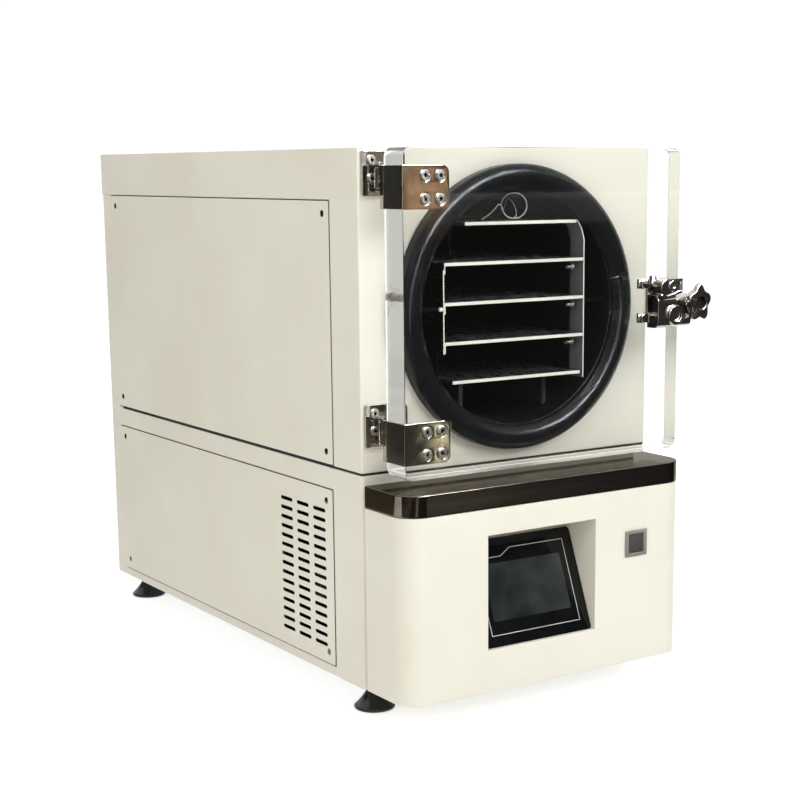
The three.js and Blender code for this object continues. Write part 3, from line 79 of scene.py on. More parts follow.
# ---------------------------------------------------------------- places that many pieces share
HOOD_LOW, HOOD_HIGH = box_of("upper_hood")
CABINET_LOW, CABINET_HIGH = box_of("lower_cabinet")
DOOR_LOW, DOOR_HIGH = box_of("door_plate")
CHAMBER = middle_of("vacuum_chamber")
FACE = HOOD_LOW.y                     # the casing's front face


# ---------------------------------------------------------------- colours and shader nodes
def add_node(tree, kind, sockets=(), **settings):
    """A node with its settings; each socket takes a value, or a link from another node's socket."""
    made = tree.nodes.new(kind)
    for key, value in settings.items():
        setattr(made, key, value)
    for socket, source in dict(sockets).items():
        if isinstance(source, bpy.types.NodeSocket):
            tree.links.new(source, made.inputs[socket])
        else:
            made.inputs[socket].default_value = source
    return made


def shade(code):
    """A colour written as six hexadecimal digits, as linear values."""
    parts = [int(code[i:i + 2], 16) / 255 for i in (0, 2, 4)]
    linear = [p / 12.92 if p <= 0.04045 else ((p + 0.055) / 1.055) ** 2.4 for p in parts]
    return (*linear, 1.0)


def new_finish(name, colour, roughness, metallic=0.0, **sockets):
    """A material with a Principled shader; every socket that is even all over is set on it here."""
    material = bpy.data.materials.new(name)
    material.use_nodes = True
    shader = material.node_tree.nodes["Principled BSDF"]
    shader.inputs["Base Color"].default_value = colour
    shader.inputs["Roughness"].default_value = roughness
    shader.inputs["Metallic"].default_value = metallic
    for socket, value in sockets.items():
        shader.inputs[socket.replace("_", " ")].default_value = value
    return material


def grain(material, scale, detail=3.0, stretch=(1, 1, 1)):
    """Noise in the piece's own coordinates; stretch makes it run along an axis, as brushing does."""
    tree = material.node_tree
    place = add_node(tree, "ShaderNodeTexCoord").outputs["Object"]
    mapping = add_node(tree, "ShaderNodeMapping", {"Vector": place, "Scale": stretch})
    return add_node(tree, "ShaderNodeTexNoise", {
        "Vector": mapping.outputs["Vector"], "Scale": scale, "Detail": detail,
    }).outputs["Fac"]


def vary(material, socket, factor, low, high, start, end):
    """Drives a socket of the shader from low to high over the stretch of factor between start and end."""
    tree = material.node_tree
    node = add_node(tree, "ShaderNodeValToRGB", {"Fac": factor})
    for stop, position, colour in zip(node.color_ramp.elements, (start, end), (low, high)):
        stop.position, stop.color = position, colour
    tree.links.new(node.outputs["Color"], tree.nodes["Principled BSDF"].inputs[socket])


def vary_colour(material, factor, low, high, start=0.3, end=0.7):
    vary(material, "Base Color", factor, low, high, start, end)


def vary_roughness(material, factor, low, high, start=0.3, end=0.7):
    vary(material, "Roughness", factor, (low, low, low, 1), (high, high, high, 1), start, end)


def emboss(material, height, strength, distance):
    """Bump from a height, in metres."""
    tree = material.node_tree
    bump = add_node(tree, "ShaderNodeBump", {"Height": height, "Strength": strength, "Distance": distance})
    tree.links.new(bump.outputs["Normal"], tree.nodes["Principled BSDF"].inputs["Normal"])


def powder_coat():
    """Ivory powder coat with a fine orange-peel texture."""
    material = new_finish("ivory powder coat", shade("E6E2D4"), 0.5, Specular_IOR_Level=0.35)
    vary_colour(material, grain(material, 5, 2), shade("E3DFD0"), shade("E9E6D9"))
    vary_roughness(material, grain(material, 120, 2), 0.42, 0.56)
    emboss(material, grain(material, 620, 2), 0.35, mm(0.25))
    return material


def brushed_metal(name, low, high, roughness, stretch, scale=40, **sockets):
    """Drawn metal: long streaks in tone, roughness and height, between two colours and two roughnesses."""
    material = new_finish(name, shade(high), roughness[0], metallic=1.0, **sockets)
    vary_colour(material, grain(material, scale, 5, stretch), shade(low), shade(high), 0.25, 0.75)
    vary_roughness(material, grain(material, scale * 3, 3, stretch), *roughness)
    emboss(material, grain(material, scale * 8, 2, stretch), 0.06, mm(0.03))
    return material


def moulded(name, low, high, roughness, texture=900, depth=0.03, **sockets):
    """Moulded plastic or rubber with a faint skin texture, between two colours and two roughnesses."""
    material = new_finish(name, shade(high), roughness[0], **sockets)
    vary_colour(material, grain(material, 18, 3), shade(low), shade(high))
    vary_roughness(material, grain(material, 60, 3), *roughness)
    emboss(material, grain(material, texture, 2), 0.25, mm(depth))
    return material


def clear_acrylic():
    """Cast acrylic with polished faces and a trace of handling haze."""
    material = new_finish("clear acrylic", (0.985, 0.995, 0.992, 1), 0.0, IOR=1.49, Transmission_Weight=1.0,
                          Specular_IOR_Level=0.5)
    vary_roughness(material, grain(material, 7, 4), 0.0, 0.012, 0.45, 0.75)
    return material


def display_glass():
    """A switched-off display: an uneven dark grey-green behind a clear sheet."""
    material = new_finish("switched-off display", shade("24292A"), 0.12, Specular_IOR_Level=0.35)
    vary_colour(material, grain(material, 22, 4), shade("191D1E"), shade("363C3A"), 0.3, 0.8)
    vary_roughness(material, grain(material, 30, 2), 0.1, 0.16)
    return material


def object_axis(tree, axis):
    """The piece's own coordinate along one axis."""
    place = add_node(tree, "ShaderNodeTexCoord").outputs["Object"]
    return add_node(tree, "ShaderNodeSeparateXYZ", {0: place}).outputs[axis]


def plate_shaded_inward():
    """Sheet painted light along its front margin, turning to painted shade, the chamber's dark tone, further
    in.
    """
    material = new_finish("rack plate with a painted_light margin", shade("63676C"), 0.4)
    front = box_of("rack_plate_right")[0].y
    along = object_axis(material.node_tree, "Y")
    depth = add_node(material.node_tree, "ShaderNodeMapRange", {
        "Value": along, "From Min": front + mm(31), "From Max": front + mm(35),
    })
    # painted light at the front margin, fading to painted shade a few millimetres deeper in
    vary_colour(material, depth.outputs["Result"], shade("63676C"), shade("0B0C0D"), 0, 1)
    vary_roughness(material, grain(material, 40, 3), 0.34, 0.46)
    return material


EVEN = (1, 1, 1)                      # a grain with no direction
FINISH = {
    "coat": powder_coat(),
    # the tray cap's dark tint is painted reflection: mirror steel coloured as dark as the surroundings it
    # mirrors
    "painted_dark": brushed_metal("smoked mirror steel", "625C54", "776F66", (0.08, 0.13), (1, 5, 9), 12,
                            Specular_Tint=(0.5, 0.49, 0.46, 1)),
    "hinge": brushed_metal("polished hinge steel", "A9A49B", "D2CDC4", (0.05, 0.11), EVEN, 18),
    "cast": brushed_metal("polished cast steel", "9A968F", "D6D3CC", (0.06, 0.14), EVEN, 30),
    "screw": brushed_metal("plated screw steel", "D9D4C8", "F2EEE4", (0.24, 0.34), EVEN, 90),
    "dark_screw": brushed_metal("blackened screw steel", "4B4842", "7C776E", (0.14, 0.22), EVEN, 90),
    # the drum's near-black stands in for the shade inside the chamber: painted shade
    "drum": moulded("dark drum lining", "07080A", "101215", (0.3, 0.42), 300, 0.01),
    "brushed": brushed_metal("brushed stainless", "A3A3A1", "C9C9C6", (0.24, 0.36), (8, 1, 8)),
    "plate": brushed_metal("rack plate steel", "5A5F66", "7B8087", (0.2, 0.3), (1, 0.3, 4), 30),
    "shaded_inward": plate_shaded_inward(),
    # rack posts near-black as painted shade inside the chamber
    "post_in_shade": brushed_metal("rack post steel", "0E0F10", "1A1B1D", (0.4, 0.5), EVEN, 30),
    # pale front faces: a matt sawn edge made paler as painted light from the front
    "sawn_and_lit": moulded("sawn sheet edge", "DDD9CC", "F0ECE1", (0.4, 0.5), 700, 0.01),
    "shelf": brushed_metal("rolled aluminium", "74777B", "979A9E", (0.24, 0.34), (1, 0.2, 1), 40),
    "zinc": brushed_metal("zinc plate", "9AA0A3", "BFC4C6", (0.3, 0.46), EVEN, 25),
    "copper": brushed_metal("copper tube", "A65A32", "CD8658", (0.2, 0.34), EVEN, 30),
    "ring": moulded("black rubber ring", "090B0E", "111418", (0.17, 0.25), 900, 0.004,
                    Specular_IOR_Level=0.26),
    "seam": moulded("seam rubber", "0C0C0D", "1A1A1B", (0.5, 0.65)),
    "black": moulded("black moulding", "0D0E10", "1B1C20", (0.14, 0.24), 400, 0.015),
    # dull black as painted shade: in screw sockets, in the knob's cup and on the rack's stand-offs
    "recess": moulded("dull black", "050505", "0E0D0C", (0.5, 0.6), Specular_IOR_Level=0.1),
    "bezel": moulded("panel moulding", "08090A", "101113", (0.1, 0.16), 300, 0.01, Specular_IOR_Level=0.25),
    "outline": moulded("silver print", "B9B8B2", "D2D1CB", (0.35, 0.45)),
    "foam": moulded("insulation foam", "131313", "222222", (0.85, 0.95), 250, 0.3),
    "grey": moulded("grey moulding", "38372F", "4A4943", (0.4, 0.5)),
    "pale_grey": moulded("pale grey moulding", "7B7972", "918F87", (0.32, 0.42)),
    "white": moulded("white plastic", "EDECE6", "FAF9F5", (0.35, 0.45)),
    "acrylic": clear_acrylic(),
    "display": display_glass(),
}


# ---------------------------------------------------------------- making meshes
def shade_by_angle(mesh, degrees=32):
    mesh.polygons.foreach_set("use_smooth", [True] * len(mesh.polygons))
    mesh.set_sharp_from_angle(angle=math.radians(degrees))


def linked(name, data):
    """A new object in the scene."""
    piece = bpy.data.objects.new(name, data)
    bpy.context.scene.collection.objects.link(piece)
    return piece


def evaluated_mesh(holder):
    """The plain mesh that an object's curve or modifiers make."""
    bpy.context.view_layer.update()
    return bpy.data.meshes.new_from_object(holder.evaluated_get(bpy.context.evaluated_depsgraph_get()))


def add_object(name, mesh, finish):
    mesh.materials.clear()
    mesh.materials.append(FINISH[finish])
    piece = linked(name, mesh)
    # the broad faces keep their true direction beside eased edges, so they mirror as flat sheet does
    piece.modifiers.new("true_flats", "WEIGHTED_NORMAL").keep_sharp = True
    return piece


def settle(piece, slot, *nodes, body="cabinet"):
    """The piece rides on a body and stands for CAD nodes; its slot is not used."""
    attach(piece, body)
    if nodes:
        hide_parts(*nodes)
    return piece


def fitted(name, mesh, finish, slot, *nodes, body="cabinet"):
    """A mesh as a finished piece that rides on a body and stands for CAD nodes."""
    return settle(add_object(name, mesh, finish), slot, *nodes, body=body)


def mesh_from(bm, name, degrees=32):
    mesh = bpy.data.meshes.new(name)
    bm.normal_update()
    bm.to_mesh(mesh)
    bm.free()
    shade_by_angle(mesh, degrees)
    return mesh


def closed_mesh(bm, name, degrees=32):
    """The mesh with loose vertices merged and its faces outward."""
    bmesh.ops.remove_doubles(bm, verts=bm.verts, dist=1e-6)
    bmesh.ops.recalc_face_normals(bm, faces=bm.faces)
    return mesh_from(bm, name, degrees)


def curve_mesh(name, curve, degrees=32, place=None):
    """The mesh of a curve, moved to its place; the curve is used up."""
    holder = linked(name, curve)
    mesh = evaluated_mesh(holder)
    bpy.data.objects.remove(holder)
    bpy.data.curves.remove(curve)
    if place is not None:
        mesh.transform(place)
    bm = bmesh.new()
    bm.from_mesh(mesh)
    bpy.data.meshes.remove(mesh)
    return closed_mesh(bm, name, degrees)


def skin(bm, rings):
    """Faces between neighbouring rings of vertices; a ring may be a single point."""
    for first, second in zip(rings, rings[1:]):
        count = max(len(first), len(second))
        if count == 1:
            continue
        for i in range(count):
            j = (i + 1) % count
            corners = [first[i % len(first)], first[j % len(first)], second[j % len(second)],
                       second[i % len(second)]]
            bm.faces.new(list(dict.fromkeys(corners)))


def merged_copy(node):
    """A CAD node's solid with its loose triangles merged and its flat faces whole again."""
    bm = bmesh.new()
    bm.from_mesh(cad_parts[node].data)
    bmesh.ops.remove_doubles(bm, verts=bm.verts, dist=mm(0.01))
    bmesh.ops.dissolve_limit(
        bm, angle_limit=math.radians(0.6), verts=bm.verts, edges=bm.edges, use_dissolve_boundaries=False,
    )
    return bm


def eased(node, finish, slot, width, segments=2, angle=32, body="cabinet"):
    """A CAD solid with its sharp edges eased by a small round, as folded or machined edges are."""
    bm = merged_copy(node)
    sharp = [e for e in bm.edges if e.is_manifold and e.calc_face_angle(0) > math.radians(angle)]
    bmesh.ops.bevel(
        bm, geom=sharp, offset=width, segments=segments, profile=0.5, affect="EDGES", clamp_overlap=False,
    )
    return fitted(f"{node}_shell", mesh_from(bm, node), finish, slot, node, body=body)


def turned_mesh(name, profile, centre, axis, segments, degrees=40):
    """Turns (radius, distance along the axis) points about an axis through centre."""
    along = axis.normalized()
    across = along.orthogonal().normalized()
    third = along.cross(across)
    bm = bmesh.new()
    rings = []
    for radius, distance in profile:
        base = centre + along * distance
        if radius < 1e-6:
            rings.append([bm.verts.new(base)])
            continue
        ring = []
        for i in range(segments):
            angle = math.tau * i / segments
            ring.append(bm.verts.new(base + radius * (across * math.cos(angle) + third * math.sin(angle))))
        rings.append(ring)
    skin(bm, rings)
    return closed_mesh(bm, name, degrees)


def lathe(name, profile, centre, axis, segments, finish, slot, *nodes, degrees=40, body="cabinet"):
    """A turned piece."""
    mesh = turned_mesh(name, profile, centre, axis, segments, degrees)
    return fitted(name, mesh, finish, slot, *nodes, body=body)


def collar(inner, outer, low, high, ease):
    """Profile of a ring or disc between two levels, its outer edges eased."""
    return [
        (inner, low), (outer - ease, low), (outer, low + ease), (outer, high - ease), (outer - ease, high),
        (inner, high), (inner, low),
    ]


def arc(centre, radius, start, end, steps):
    """Points on an arc, angles in degrees."""
    points = []
    for i in range(steps + 1):
        angle = math.radians(start + (end - start) * i / steps)
        points.append((centre[0] + radius * math.cos(angle), centre[1] + radius * math.sin(angle)))
    return points


def rounded(x0, x1, y0, y1, radii, steps=10):
    """Rectangle with its own radius at the lower left, lower right, upper right and upper left."""
    if not isinstance(radii, (tuple, list)):
        radii = (radii,) * 4
    corners = ((x0, y0, 180, 1, 1), (x1, y0, 270, -1, 1), (x1, y1, 0, -1, -1), (x0, y1, 90, 1, -1))
    points = []
    for (x, y, start, sx, sy), radius in zip(corners, radii):
        if radius <= 0:
            points.append((x, y))
        else:
            points += arc((x + sx * radius, y + sy * radius), radius, start, start + 90, steps)
    return points


def slot_outline(x, y, length, height, steps=6):
    """A slot with round ends, by its middle."""
    half, radius = length / 2 - height / 2, height / 2
    return arc((x + half, y), radius, -90, 90, steps) + arc((x - half, y), radius, 90, 270, steps)


def plate_mesh(name, outer, holes, thickness, ease, origin, right, up, bevel_steps=2):
    """A flat plate from outlines, with eased edges. Its front lies at origin and looks along right x up."""
    curve = bpy.data.curves.new(name, "CURVE")
    curve.dimensions = "2D"
    curve.fill_mode = "BOTH"
    curve.extrude = thickness / 2 - ease
    curve.bevel_depth = ease
    curve.bevel_resolution = bevel_steps
    curve.offset = -ease
    for outline in [outer] + list(holes):
        spline = curve.splines.new("POLY")
        spline.points.add(len(outline) - 1)
        for point, (x, y) in zip(spline.points, outline):
            point.co = (x, y, 0, 1)
        spline.use_cyclic_u = True
    normal = right.cross(up)
    turn = Matrix((right, up, normal)).transposed().to_4x4()
    return curve_mesh(name, curve, place=Matrix.Translation(origin - normal * thickness / 2) @ turn)


def join_meshes(name, meshes):
    """One mesh from several, which are used up."""
    bm = bmesh.new()
    for mesh in meshes:
        bm.from_mesh(mesh)
        bpy.data.meshes.remove(mesh)
    return mesh_from(bm, name)


def block_mesh(name, low, high, ease, segments=2):
    """A block between two corners with eased edges."""
    bm = bmesh.new()
    bmesh.ops.create_cube(bm, size=1)
    size = Vector(high) - Vector(low)
    place = Matrix.Translation((Vector(low) + Vector(high)) / 2) @ Matrix.Diagonal((*size, 1))
    bmesh.ops.transform(bm, matrix=place, verts=bm.verts)
    bmesh.ops.bevel(bm, geom=list(bm.edges), offset=ease, segments=segments, profile=0.5, affect="EDGES")
    return mesh_from(bm, name)


def tube_mesh(name, points, radius, sides):
    """A round tube along a smooth line through points."""
    curve = bpy.data.curves.new(name, "CURVE")
    curve.dimensions = "3D"
    curve.bevel_depth = radius
    curve.bevel_resolution = sides // 4
    curve.use_fill_caps = True
    curve.resolution_u = 6
    spline = curve.splines.new("BEZIER")
    spline.bezier_points.add(len(points) - 1)
    for knot, place in zip(spline.bezier_points, points):
        knot.co = place
        knot.handle_left_type = "AUTO"
        knot.handle_right_type = "AUTO"
    return curve_mesh(name, curve, 60)


# ---------------------------------------------------------------- repeats by Geometry Nodes
class Tree:
    """A Geometry Nodes tree that is written top to bottom, with named inputs."""

    def __init__(self, name):
        self.group = bpy.data.node_groups.new(name, "GeometryNodeTree")
        self.group.interface.new_socket("Geometry", in_out="INPUT", socket_type="NodeSocketGeometry")
        self.group.interface.new_socket("Geometry", in_out="OUTPUT", socket_type="NodeSocketGeometry")
        self.entry = self.group.nodes.new("NodeGroupInput")
        self.identifiers = {}

    def input(self, name, value, kind="NodeSocketFloat"):
        socket = self.group.interface.new_socket(name, in_out="INPUT", socket_type=kind)
        socket.default_value = value
        self.identifiers[name] = socket.identifier
        return self.entry.outputs[name]

    def node(self, kind, links=(), **settings):
        return add_node(self.group, kind, links, **settings)

    def maths(self, operation, a, b):
        return self.node("ShaderNodeMath", {0: a, 1: b}, operation=operation).outputs[0]

    def shape(self, kind, height=0.0, **sizes):
        """A mesh primitive, lifted to a height."""
        sockets = {name.replace("_", " "): value for name, value in sizes.items()}
        made = self.node(f"GeometryNodeMesh{kind}", sockets).outputs["Mesh"]
        up = self.node("ShaderNodeCombineXYZ", {"Z": height}).outputs[0]
        return self.node("GeometryNodeTransform", {"Geometry": made, "Translation": up}).outputs[0]

    def gather(self, kind, socket, parts, links=(), **settings):
        """A node with one socket that takes several parts, in their order."""
        made = self.node(kind, links, **settings)
        for part in parts:
            self.group.links.new(part, made.inputs[socket])
        return made.outputs[0]

    def cut(self, mesh, cutters):
        base = {"Mesh 1": mesh}
        return self.gather("GeometryNodeMeshBoolean", "Mesh 2", cutters, base, operation="DIFFERENCE")

    def end(self, instance, material):
        """The instance at each vertex of the base mesh, turned, made real and given its material."""
        facing = self.input("Facing", (0, 0, 0), "NodeSocketVector")
        turn = self.node("FunctionNodeEulerToRotation", {0: facing}).outputs[0]
        placed = self.node("GeometryNodeInstanceOnPoints", {
            "Points": self.entry.outputs[0], "Instance": instance, "Rotation": turn,
        }).outputs[0]
        real = self.node("GeometryNodeRealizeInstances", {0: placed}).outputs[0]
        coated = self.node("GeometryNodeSetMaterial", {"Geometry": real, "Material": material}).outputs[0]
        self.group.links.new(coated, self.group.nodes.new("NodeGroupOutput").inputs[0])


CHAMFERED = 0.86                      # a chamfer's small radius, as a share of the large one
CROWN = 0.1                           # height of a screw head's chamfer, as a share of its radius


def screw_tree(name, material):
    """Socket-head cap screws on cup washers, one at each vertex of the base mesh, heads along its +Z."""
    tree = Tree(name)
    washer_radius = tree.input("Washer Radius", mm(8.7))
    washer_height = tree.input("Washer Height", mm(1.5))
    head_radius = tree.input("Head Radius", mm(6.2))
    head_height = tree.input("Head Height", mm(3.1))
    socket_radius = tree.input("Socket Radius", mm(3.3))
    socket_depth = tree.input("Socket Depth", mm(2.2))

    def times(value, share):
        return tree.maths("MULTIPLY", value, share)

    def chamfer(vertices, radius, depth, level):
        return tree.shape("Cone", level, Vertices=vertices, Radius_Top=times(radius, CHAMFERED),
                          Radius_Bottom=radius, Depth=depth)

    washer = tree.shape("Cylinder", Vertices=40, Radius=washer_radius, Depth=washer_height)
    rim = chamfer(40, washer_radius, times(washer_height, 0.4), times(washer_height, 0.5))
    head = tree.shape("Cylinder", times(head_height, 0.5), Vertices=36, Radius=head_radius, Depth=head_height)
    crown_height = times(head_radius, CROWN)
    crown = chamfer(36, head_radius, crown_height, head_height)
    solid = tree.gather("GeometryNodeMeshBoolean", "Mesh 2", (head, crown), operation="UNION")
    top = tree.maths("ADD", head_height, crown_height)
    hexagon = tree.shape("Cylinder", top, Vertices=6, Radius=socket_radius, Depth=times(socket_depth, 2.0))
    bored = tree.cut(solid, [hexagon])
    tree.end(tree.gather("GeometryNodeJoinGeometry", "Geometry", (washer, rim, bored)), material)
    return tree


def pan_screw_tree(name, material):
    """Low domed panel screws with a cross recess, one at each vertex of the base mesh."""
    tree = Tree(name)
    radius = tree.input("Radius", mm(5.4))
    height = tree.input("Height", mm(1.4))
    ball = tree.shape("UVSphere", Segments=24, Rings=12, Radius=radius)
    flatness = tree.maths("DIVIDE", height, radius)
    squash = tree.node("ShaderNodeCombineXYZ", {"X": 1.0, "Y": 1.0, "Z": flatness}).outputs[0]
    dome = tree.node("GeometryNodeTransform", {"Geometry": ball, "Scale": squash}).outputs[0]
    long_side = tree.maths("MULTIPLY", radius, 1.15)
    short_side = tree.maths("MULTIPLY", radius, 0.26)
    bars = []
    for x, y in ((long_side, short_side), (short_side, long_side)):
        size = tree.node("ShaderNodeCombineXYZ", {"X": x, "Y": y, "Z": height}).outputs[0]
        bars.append(tree.shape("Cube", height, Size=size))
    tree.end(tree.cut(dome, bars), material)
    return tree


def socket_shade_tree(name, material):
    """A near-black disc at the floor of each hexagon socket, as painted shade, one at each vertex of the base
    mesh.
    """
    tree = Tree(name)
    radius = tree.input("Socket Radius", mm(3.3))
    level = tree.input("Level", mm(1.5))
    fitted = tree.maths("MULTIPLY", radius, 0.98)
    tree.end(tree.shape("Cylinder", level, Vertices=6, Radius=fitted, Depth=mm(0.3)), material)
    return tree


SCREW_TREES = {
    "socket": screw_tree("socket screws", FINISH["screw"]),
    "floor": socket_shade_tree("socket floors", FINISH["recess"]),
    "pan": pan_screw_tree("panel screws", FINISH["dark_screw"]),
}
QUARTER = math.radians(90)
TOWARDS = {"front": (QUARTER, 0, 0), "left": (0, -QUARTER, 0), "right": (0, QUARTER, 0)}


def screws(name, kind, places, facing, slot, body="cabinet", **settings):
    """Screws of one kind at the given places, made real as one plain mesh."""
    tree = SCREW_TREES[kind]
    mesh = bpy.data.meshes.new(name)
    mesh.from_pydata([tuple(place) for place in places], [], [])
    holder = linked(name, mesh)
    modifier = holder.modifiers.new("screws", "NODES")
    modifier.node_group = tree.group
    modifier[tree.identifiers["Facing"]] = TOWARDS[facing]
    for size, value in settings.items():
        modifier[tree.identifiers[size.replace("_", " ")]] = value
    made = evaluated_mesh(holder)
    holder.modifiers.clear()
    holder.data = made
    bpy.data.meshes.remove(mesh)
    shade_by_angle(made, 30)
    return settle(holder, slot, body=body)


# ---------------------------------------------------------------- casing
LOUVRE_COLUMNS, LOUVRE_ROWS = 3, 15
LOUVRE = sizes(length=38.5, height=6, pitch_y=52.3, pitch_z=15.3, front=22.5, bottom=25.5)
SIDE = sizes(
    face=1.1, ease=0.5, corner=2.5, gap=1.3, gap_corner=3.2, gap_depth=0.3, gap_ease=0.05, overlap=1,
    overlap_corner=2, screw_inset=18.5, screw_height=0.7,
)


def casing_shells():
    """Folded sheet shells, their sharp edges eased as the bends of a press brake are."""
    eased("upper_hood", "coat", "casing_paint", width=mm(1.7), segments=3, angle=40)
    eased("lower_cabinet", "coat", "casing_paint", width=mm(1.5), segments=3, angle=40)
    eased("control_fascia", "coat", "casing_paint", width=mm(1.3), segments=3, angle=30)
    # the tray cap's mirror steel is tinted dark as painted reflection
    eased("steel_tray_cap", "painted_dark", "mirror_steel", width=mm(2.2), segments=4, angle=30)
    eased("seam_strip", "seam", "black_rubber", width=mm(0.4))


def panel_corners(low, high, x):
    inset = Vector((0, SIDE.screw_inset, SIDE.screw_inset))
    near, far = low + inset, high - inset
    return [(x, y, z) for y in (near.y, far.y) for z in (near.z, far.z)]


def side_panel(node, side, louvred):
    """A side panel with eased edges, its slots, a near-black strip round it as painted shade in the gap, and
    its four screws.
    """
    low, high = box_of(node)
    casing = CABINET_LOW.x if side < 0 else CABINET_HIGH.x
    width, height = high.y - low.y, high.z - low.z
    outer = rounded(0, width, 0, height, SIDE.corner, 5)
    holes = []
    if louvred:
        for column in range(LOUVRE_COLUMNS):
            for row in range(LOUVRE_ROWS):
                y = LOUVRE.front + column * LOUVRE.pitch_y + LOUVRE.length / 2
                z = LOUVRE.bottom + row * LOUVRE.pitch_z + LOUVRE.height / 2
                holes.append(slot_outline(y, z, LOUVRE.length, LOUVRE.height))
    origin = Vector((casing, low.y, low.z))
    if side < 0:
        outer = [(width - y, z) for y, z in reversed(outer)]
        holes = [[(width - y, z) for y, z in reversed(hole)] for hole in holes]
        origin.y = high.y
    outward = X * side
    mesh = plate_mesh(node, outer, holes, SIDE.face, SIDE.ease, origin + outward * SIDE.face, Y * side, Z)
    fitted(f"{node}_plate", mesh, "coat", "casing_paint", node)
    # a thin near-black strip just proud of the casing round the panel: painted shade in the gap
    gap, overlap, depth = SIDE.gap, SIDE.overlap, SIDE.gap_depth
    surround = rounded(-gap, width + gap, -gap, height + gap, SIDE.gap_corner, 5)
    opening = rounded(overlap, width - overlap, overlap, height - overlap, SIDE.overlap_corner, 5)
    place = origin + outward * depth
    shadow = plate_mesh(f"{node}_gap", surround, [opening], depth, SIDE.gap_ease, place, Y * side, Z)
    fitted(f"{node}_gap", shadow, "seam", "black_rubber")
    places = panel_corners(low, high, casing + side * SIDE.face)
    facing = "left" if side < 0 else "right"
    screws(f"{node}_screws", "pan", places, facing, "brushed_steel", Height=SIDE.screw_height)


FOOT = sizes(wider=1.4, rim=3.2)
# the shoulder: inward from the foot's radius, height
FOOT_SHOULDER = (mm(2.2, 6.6), mm(3.6, 7.6))
# the cone: share of the foot's radius, height
FOOT_CONE = ((0.66, mm(16)), (0.48, mm(24)), (0.36, mm(30)))
# the stem and its nut: radius, height
FOOT_STEM = (mm(8.4, 33.6), mm(9.6, 34.2), mm(9.9, 35.2), mm(9.9, 44.6), mm(9.2, 45.5), mm(6, 45.7))


def feet():
    """Conical levelling feet with a rolled rim, turned, glossy black."""
    for corner in ("front_left", "front_right", "rear_left", "rear_right"):
        node = f"levelling_foot_{corner}"
        low, high = box_of(node)
        radius = (high.x - low.x) / 2 + FOOT.wider
        rim = FOOT.rim
        profile = [(0, 0), (radius - rim, 0), *arc((radius - rim, rim), rim, -90, 50, 8)]
        profile += [(radius - inward, level) for inward, level in FOOT_SHOULDER]
        profile += [(radius * share, level) for share, level in FOOT_CONE]
        profile += [*FOOT_STEM, (FOOT_STEM[-1][0], high.z), (0, high.z)]
        centre = Vector(((low.x + high.x) / 2, (low.y + high.y) / 2, 0))
        lathe(f"{node}_turned", profile, centre, Z, 72, "black", "black_plastic", node)


# ---------------------------------------------------------------- control fascia
LEAN = math.radians(21.75)            # how far the touch panel leans back
PANEL = sizes(
    from_front=12, foot=112.2, aside=14, half=95.4, left=9, low=-1.3, high=165.2, corner=7, bezel=5, margin=11,
    housing=30, screen=(-82.4, 65.2, 37.8, 126.0), outline=(-91.6, 76.6, 17, 147), notch=(-45.4, -25.6, 135.5),
    line=0.9, ease=0.9, proud=0.3, inner_corner=2, glass=0.35, glass_corner=0.8, glass_proud=0.55,
    print=0.2, print_proud=0.42,
)


class TiltedFace:
    """The touch panel's own axes: across, up its face, and out of it."""

    def __init__(self):
        low, high = box_of("control_fascia")
        self.up = Vector((0, math.sin(LEAN), math.cos(LEAN)))
        self.out = Vector((0, -math.cos(LEAN), math.sin(LEAN)))
        self.foot = Vector(((low.x + high.x) / 2 - PANEL.aside, low.y + PANEL.from_front, PANEL.foot))

    def place(self, out):
        return self.foot + self.out * out


def thick_line(points, width):
    """Outline of a closed band of even width along a closed line with straight stretches."""
    def offset(distance):
        moved = []
        count = len(points)
        for i in range(count):
            before, here, after = (Vector(points[j % count]) for j in (i - 1, i, i + 1))
            first, second = (here - before).normalized(), (after - here).normalized()
            normal = Vector((first.y, -first.x))
            bisector = (normal + Vector((second.y, -second.x))).normalized()
            moved.append(tuple(here + bisector * distance / max(0.2, bisector.dot(normal))))
        return moved
    return offset(width / 2), offset(-width / 2)


def touch_panel():
    """Glossy bezel with a fine silver outline, and the switched-off display set in it."""
    face = TiltedFace()
    half, low, high, bezel = PANEL.half, PANEL.low, PANEL.high, PANEL.bezel
    outer = rounded(-half - PANEL.left, half, low, high, PANEL.corner, 8)
    front = plate_mesh("bezel", outer, [], bezel, PANEL.ease, face.place(bezel + PANEL.proud), X, face.up, 3)
    margin, inset = PANEL.margin, mm(0.5)
    box = rounded(-half + margin, half - margin, low + margin, high - margin, PANEL.inner_corner, 3)
    rear = plate_mesh("housing", box, [], PANEL.housing, inset, face.place(inset), X, face.up)
    case = join_meshes("touch_panel", [front, rear])
    fitted("touch_panel_housing", case, "bezel", "black_plastic", "touch_panel_body")
    screen = rounded(*PANEL.screen, PANEL.glass_corner, 4)
    place = face.place(bezel + PANEL.glass_proud)
    glass = plate_mesh("display", screen, [], PANEL.glass, mm(0.1), place, X, face.up)
    fitted("touch_screen_glass", glass, "display", "screen_glass", "touch_screen")
    x0, x1, z0, z1 = PANEL.outline
    step_low, step_high, shelf = PANEL.notch
    line = [(x0, z0), (x1, z0), (x1, z1), (step_high, z1), (step_low, shelf), (x0, shelf)]
    outside, inside = thick_line(line, PANEL.line)
    place = face.place(bezel + PANEL.print_proud)
    mark = plate_mesh("outline", outside, [inside], PANEL.print, mm(0.04), place, X, face.up)
    fitted("touch_panel_outline", mark, "outline", "black_plastic")


def push_switch():
    eased("switch_frame", "pale_grey", "grey_plastic", width=mm(1.5), segments=3)
    eased("switch_button", "grey", "grey_plastic", width=mm(0.9), segments=3, body="push_switch")


